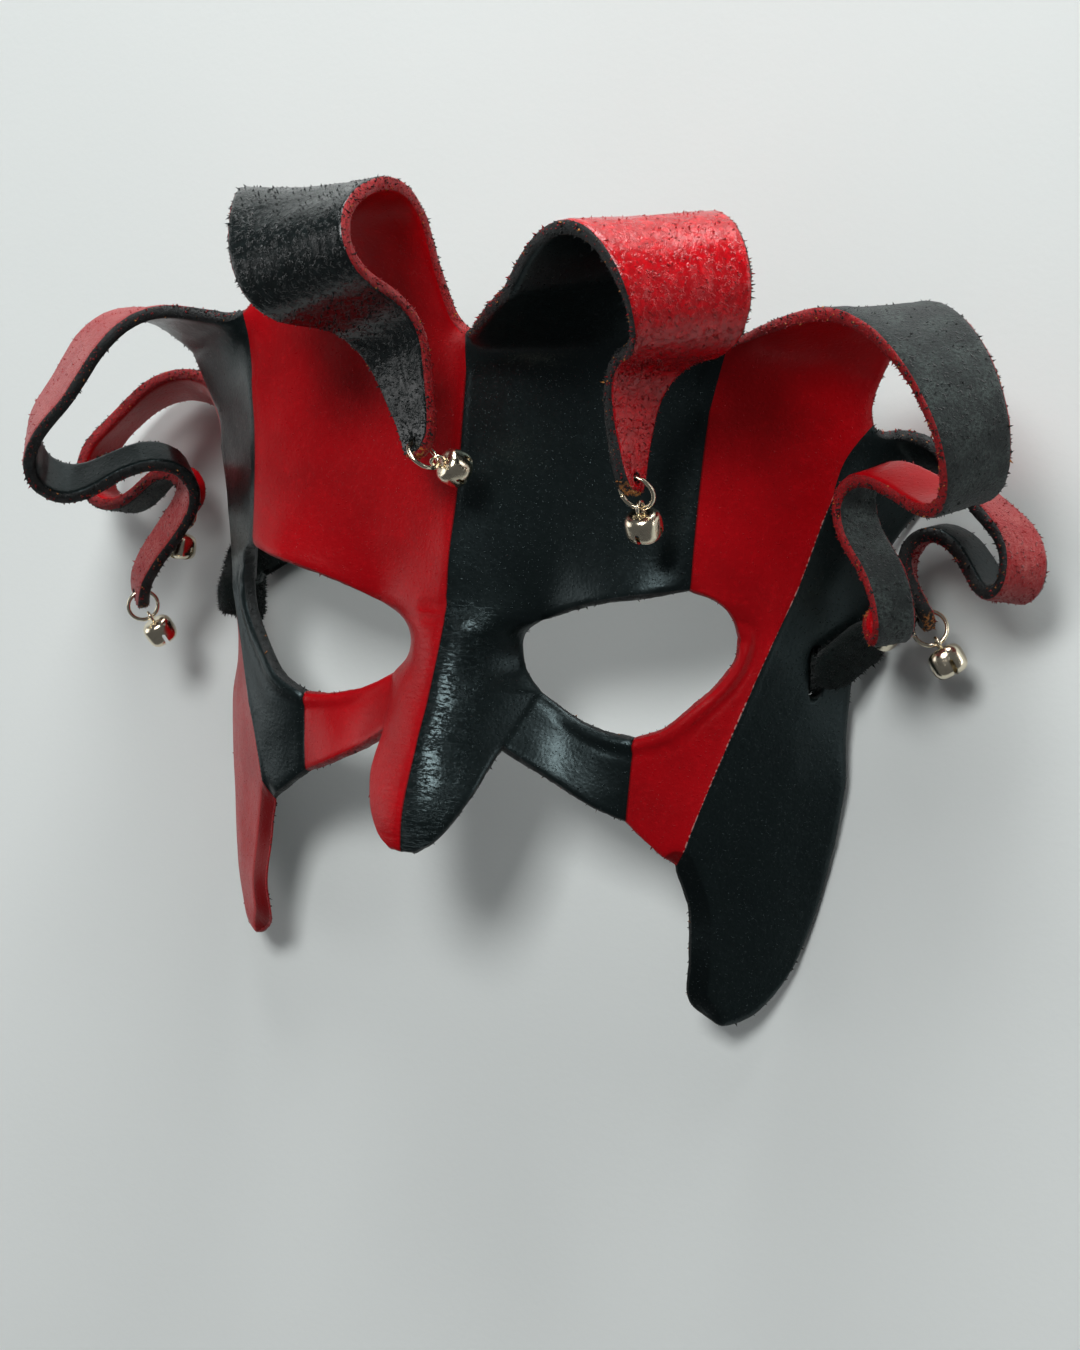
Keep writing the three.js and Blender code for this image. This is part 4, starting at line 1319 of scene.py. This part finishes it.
class JesterLeather(bpy.types.PropertyGroup):
    thickness: length_of(
        "Leather thickness", "Thickness of the sheet that the mask and its horns are cut from",
        0.003, min=0.002, max=0.004)
    fineness: count_of(
        "Mesh fineness", "Mesh steps in each coarse step of a panel's edge", 6, min=2, max=8)
    fibres: number_of(
        "Fibres", "Loose fibres on each millimetre of the horns' cut edges", 5.2, min=0.1, max=8)
    crumbs: count_of("Crumbs", "Crumbs of nap on the backs of the horns", 4200, min=1)
    horn_rows: count_of("Horn rows", "Rows of mesh along each horn", 82, min=40, max=130)
    score_depth: length_of(
        "Score depth", "Depth of the scored lines between the colours", 0.00035, min=0, max=0.001)
    lip_height: length_of(
        "Rolled lip", "How far the lip below each eye hole stands up", 0.0009, min=0, max=0.002)
    red: colour_of("Red dye", "Dye of the red panels", (0.43, 0.002, 0.006))
    black: colour_of("Black dye", "Dye of the black panels", (0.005, 0.008, 0.008))


class JesterBells(bpy.types.PropertyGroup):
    radius: length_of("Bell radius", "Radius of a bell's barrel", 0.0037)
    height: length_of("Bell height", "Height of a bell without its eye", 0.0062)
    wall: length_of("Bell wall", "Thickness of a bell's metal", 0.00035)
    slot_width: length_of("Slot width", "Width of the crossed slots", 0.0009)
    slot_top: length_of("Slot top", "Height of the slots' ends above the bell's middle", -0.0004)
    eye_radius: length_of("Eye radius", "Radius of the wire eye on top", 0.0013)
    eye_wire: length_of("Eye wire", "Radius of the eye's wire", 0.00036)
    ring_radius: length_of("Ring radius", "Radius of a jump ring's middle line", 0.00345)
    ring_wire: length_of("Ring wire", "Radius of a jump ring's wire", 0.00045)
    metal: colour_of("Metal", "Colour of the nickel plate", (0.82, 0.73, 0.56))


class JesterStrap(bpy.types.PropertyGroup):
    width: length_of("Strap width", "Width of the suede strap", 0.010)
    thickness: length_of("Strap thickness", "Thickness of the suede strap", 0.0015)
    steps: count_of(
        "Mesh steps", "Rows of mesh between two places of the route", 11, min=2, max=20)
    fibres: count_of(
        "Fibres", "Loose fibres of the nap on the parts that show", 7000, min=10)
    dye: colour_of("Suede dye", "Dye of the strap", (0.0028, 0.0058, 0.0053))


class JesterStage(bpy.types.PropertyGroup):
    floor: colour_of("Floor", "Colour of the plain floor", (0.75, 0.79, 0.775))
    ambient: number_of("Ambient light", "Strength of the even light from all sides", 0.1, min=0)
    key: power_of("Key light", "Power of the light above the forehead", 16)
    left: power_of("Left light", "Power of the light to the left", 3)
    right: power_of("Right light", "Power of the light to the right", 12)
    front: power_of("Front light", "Power of the light near the viewer", 9)
    distance: length_of("Distance", "How far the lights stand from the mask", 1.25)


def viewer_axes():
    """Right, up and back of the viewer on the laid mask."""
    back = unit(laid_direction(VIEWER_BACK))
    right = unit(laid_direction(np.cross((0, 1, 0), VIEWER_BACK)))
    return right, np.cross(back, right), back


class JESTER_OT_stage(bpy.types.Operator):
    """Make the camera, the plain floor and the soft lights"""

    bl_idname = "jester.stage"
    bl_label = "Stage"

    def execute(self, context):
        settings = context.scene.jester_stage
        right, up, back = viewer_axes()
        data = bpy.data.cameras.new("camera")
        data.lens = data.sensor_width * FOCAL_PIXELS / max(PICTURE_SIZE)
        data.clip_start, data.clip_end = CLIP
        camera = bpy.data.objects.new("camera", data)
        turn = Matrix([[*row, 0] for row in np.stack([right, up, back], axis=1)] + [[0, 0, 0, 1]])
        camera.matrix_world = Matrix.Translation(Vector(laid(VIEWER))) @ turn
        context.scene.collection.objects.link(camera)
        context.scene.camera = camera

        corners = [(x * FLOOR_REACH, y * FLOOR_REACH, 0)
                   for x, y in ((-1, -1), (1, -1), (1, 1), (-1, 1))]
        floor = bpy.data.objects.new("floor", make_mesh("floor", corners, [(0, 1, 2, 3)]))
        floor.data.materials.append(floor_paper("floor", tuple(settings.floor)))
        context.scene.collection.objects.link(floor)

        for name, (size, way) in LAMPS.items():
            way = unit(way @ np.stack([right, up, back]))
            lamp = bpy.data.lights.new(name, "AREA")
            lamp.energy, lamp.size = getattr(settings, name), size
            light = bpy.data.objects.new(name, lamp)
            light.location = Vector(laid(LIT_MIDDLE) + way * settings.distance)
            light.rotation_mode = "QUATERNION"
            light.rotation_quaternion = Vector(way).to_track_quat("Z", "Y")
            context.scene.collection.objects.link(light)
        world = bpy.data.worlds.new("room")
        world.use_nodes = True
        background = world.node_tree.nodes["Background"]
        background.inputs["Color"].default_value = ROOM_COLOUR
        background.inputs["Strength"].default_value = settings.ambient
        context.scene.world = world
        context.scene.view_settings.view_transform = "Standard"
        return {"FINISHED"}


class JESTER_OT_leather(bpy.types.Operator):
    """Form the leather with its six horns as one piece"""

    bl_idname = "jester.leather"
    bl_label = "Leather"

    def execute(self, context):
        settings = context.scene.jester_leather
        (points, faces, finish, numbers), fibres, horns = leather_sheet(settings)
        sheet = make_mesh("leather_uncut", laid(points), faces, finish, numbers)
        tools = [prism(circle(HOLE_RADIUS, 28), HOLE_DEPTH, tip["at"], tip["across"], tip["along"],
                       tip["normal"]) for _, _, tip in horns.values()]
        back, up, out = slot_frame()
        outline = slot_outline(SLOT_WIDTH, SLOT_HEIGHT)
        tools.append(prism(outline, SLOT_DEPTH, SLOT_CENTRE, back, up, out))
        tools.append(prism(outline, SLOT_DEPTH, SLOT_CENTRE * MIRROR,
                           -back * MIRROR, up * MIRROR, out * MIRROR))
        points, faces = joined(tools)
        cutter = make_mesh(
            "cutter", laid(points), faces, [FINISHES.index("black edge")] * len(faces),
            {key: np.full(len(points), FAR_OFF) for key in NUMBERS})
        finishes = leather_finishes(tuple(settings.red), tuple(settings.black))
        for material in finishes:
            sheet.materials.append(material)
            cutter.materials.append(material)
        mesh = with_fibres("leather_sheet", cut_out(sheet, cutter), fibres)
        for material in finishes:
            mesh.materials.append(material)
        show("leather_sheet", mesh, "root", "leather", "leather_mask")
        return {"FINISHED"}


class JESTER_OT_bells(bpy.types.Operator):
    """Hang a bell on a jump ring from the tip of each horn"""

    bl_idname = "jester.bells"
    bl_label = "Rings and bells"

    def execute(self, context):
        settings = context.scene.jester_bells
        metal = plated_metal("nickel plate", tuple(settings.metal))
        bell, bell_faces = bell_shape(settings)
        radius, wire = settings.ring_radius / MM, settings.ring_wire / MM
        ring, ring_faces = tube_ring(radius, wire, RING_GAP_DEGREES)
        thickness = context.scene.jester_leather.thickness / MM
        for name, (_, _, tip) in all_horns(half_edges(1), 20, thickness).items():
            centre, x, y, axis = ring_place(tip, HORNS[name]["ring_swing"])
            points = laid(placed(ring, centre, x, y, axis))
            mesh = make_mesh(f"jump_ring_{name}", points, ring_faces)
            mesh.materials.append(metal)
            show(f"jump_ring_{name}", mesh, "root", "nickel", f"ring_{name}")
            place = bell_place(centre, axis, radius, settings.height / MM)
            mesh = make_mesh(f"jingle_bell_{name}", laid(placed(bell, *place)), bell_faces)
            mesh.set_sharp_from_angle(angle=math.radians(BELL_SHARP_DEGREES))
            mesh.materials.append(metal)
            show(f"jingle_bell_{name}", mesh, "root", "nickel", f"bell_{name}")
        return {"FINISHED"}


class JESTER_OT_strap(bpy.types.Operator):
    """Lay the suede strap through both slots and under the forehead"""

    bl_idname = "jester.strap"
    bl_label = "Suede strap"

    def execute(self, context):
        settings = context.scene.jester_strap
        points, faces = strap_shape(settings)
        smooth = make_mesh("strap_without_nap", points * MM, faces)
        normals = np.array([v.normal for v in smooth.vertices])
        moved = (points + normals * grain(points, STRAP_NAP)[:, None]) * MM
        rng = np.random.default_rng(12)
        shown_from = SLOT_CENTRE[0] - STRAP_SHOWN_BEFORE_SLOT
        shown = np.where(np.abs(points[:, 0] - REST_SHIFT[0]) > shown_from)[0]
        chosen = rng.choice(shown, settings.fibres)
        ways = unit_rows(normals[chosen] + rng.normal(0, STRAP_FIBRE_LEAN, (len(chosen), 3)))
        fibres = spikes(moved[chosen] - normals[chosen] * STRAP_FIBRE_ROOT * MM, ways,
                        rng.uniform(*STRAP_FIBRE_LENGTHS, len(chosen)) * MM,
                        rng.uniform(*STRAP_FIBRE_WIDTHS, len(chosen)) * MM)
        mesh = make_mesh("suede_strap", *joined([(moved, faces), fibres]))
        mesh.materials.append(strap_suede("strap suede", tuple(settings.dye)))
        show("suede_strap", mesh, "root", "suede", "strap")
        return {"FINISHED"}


class JESTER_PT_panel(bpy.types.Panel):
    """The mask's settings and makers in the sidebar"""

    bl_label = "Jester mask"
    bl_idname = "JESTER_PT_panel"
    bl_space_type = "VIEW_3D"
    bl_region_type = "UI"
    bl_category = "Jester mask"

    def draw(self, context):
        for group, operator in PANEL_ROWS:
            box = self.layout.box()
            settings = getattr(context.scene, group)
            for name in settings.bl_rna.properties.keys():
                if name not in ("rna_type", "name"):
                    box.prop(settings, name)
            box.operator(operator)


PANEL_ROWS = (
    ("jester_stage", "jester.stage"), ("jester_leather", "jester.leather"),
    ("jester_bells", "jester.bells"), ("jester_strap", "jester.strap"),
)
GROUPS = {
    "jester_stage": JesterStage, "jester_leather": JesterLeather,
    "jester_bells": JesterBells, "jester_strap": JesterStrap,
}
CLASSES = (
    *GROUPS.values(), JESTER_OT_stage, JESTER_OT_leather, JESTER_OT_bells, JESTER_OT_strap,
    JESTER_PT_panel,
)


def register():
    for cls in CLASSES:
        bpy.utils.register_class(cls)
    for name, group in GROUPS.items():
        setattr(bpy.types.Scene, name, bpy.props.PointerProperty(type=group))


def unregister():
    for name in GROUPS:
        delattr(bpy.types.Scene, name)
    for cls in reversed(CLASSES):
        bpy.utils.unregister_class(cls)


def main():
    register()
    bpy.ops.jester.stage()
    bpy.ops.jester.leather()
    bpy.ops.jester.bells()
    bpy.ops.jester.strap()


if __name__ == "__main__":
    main()
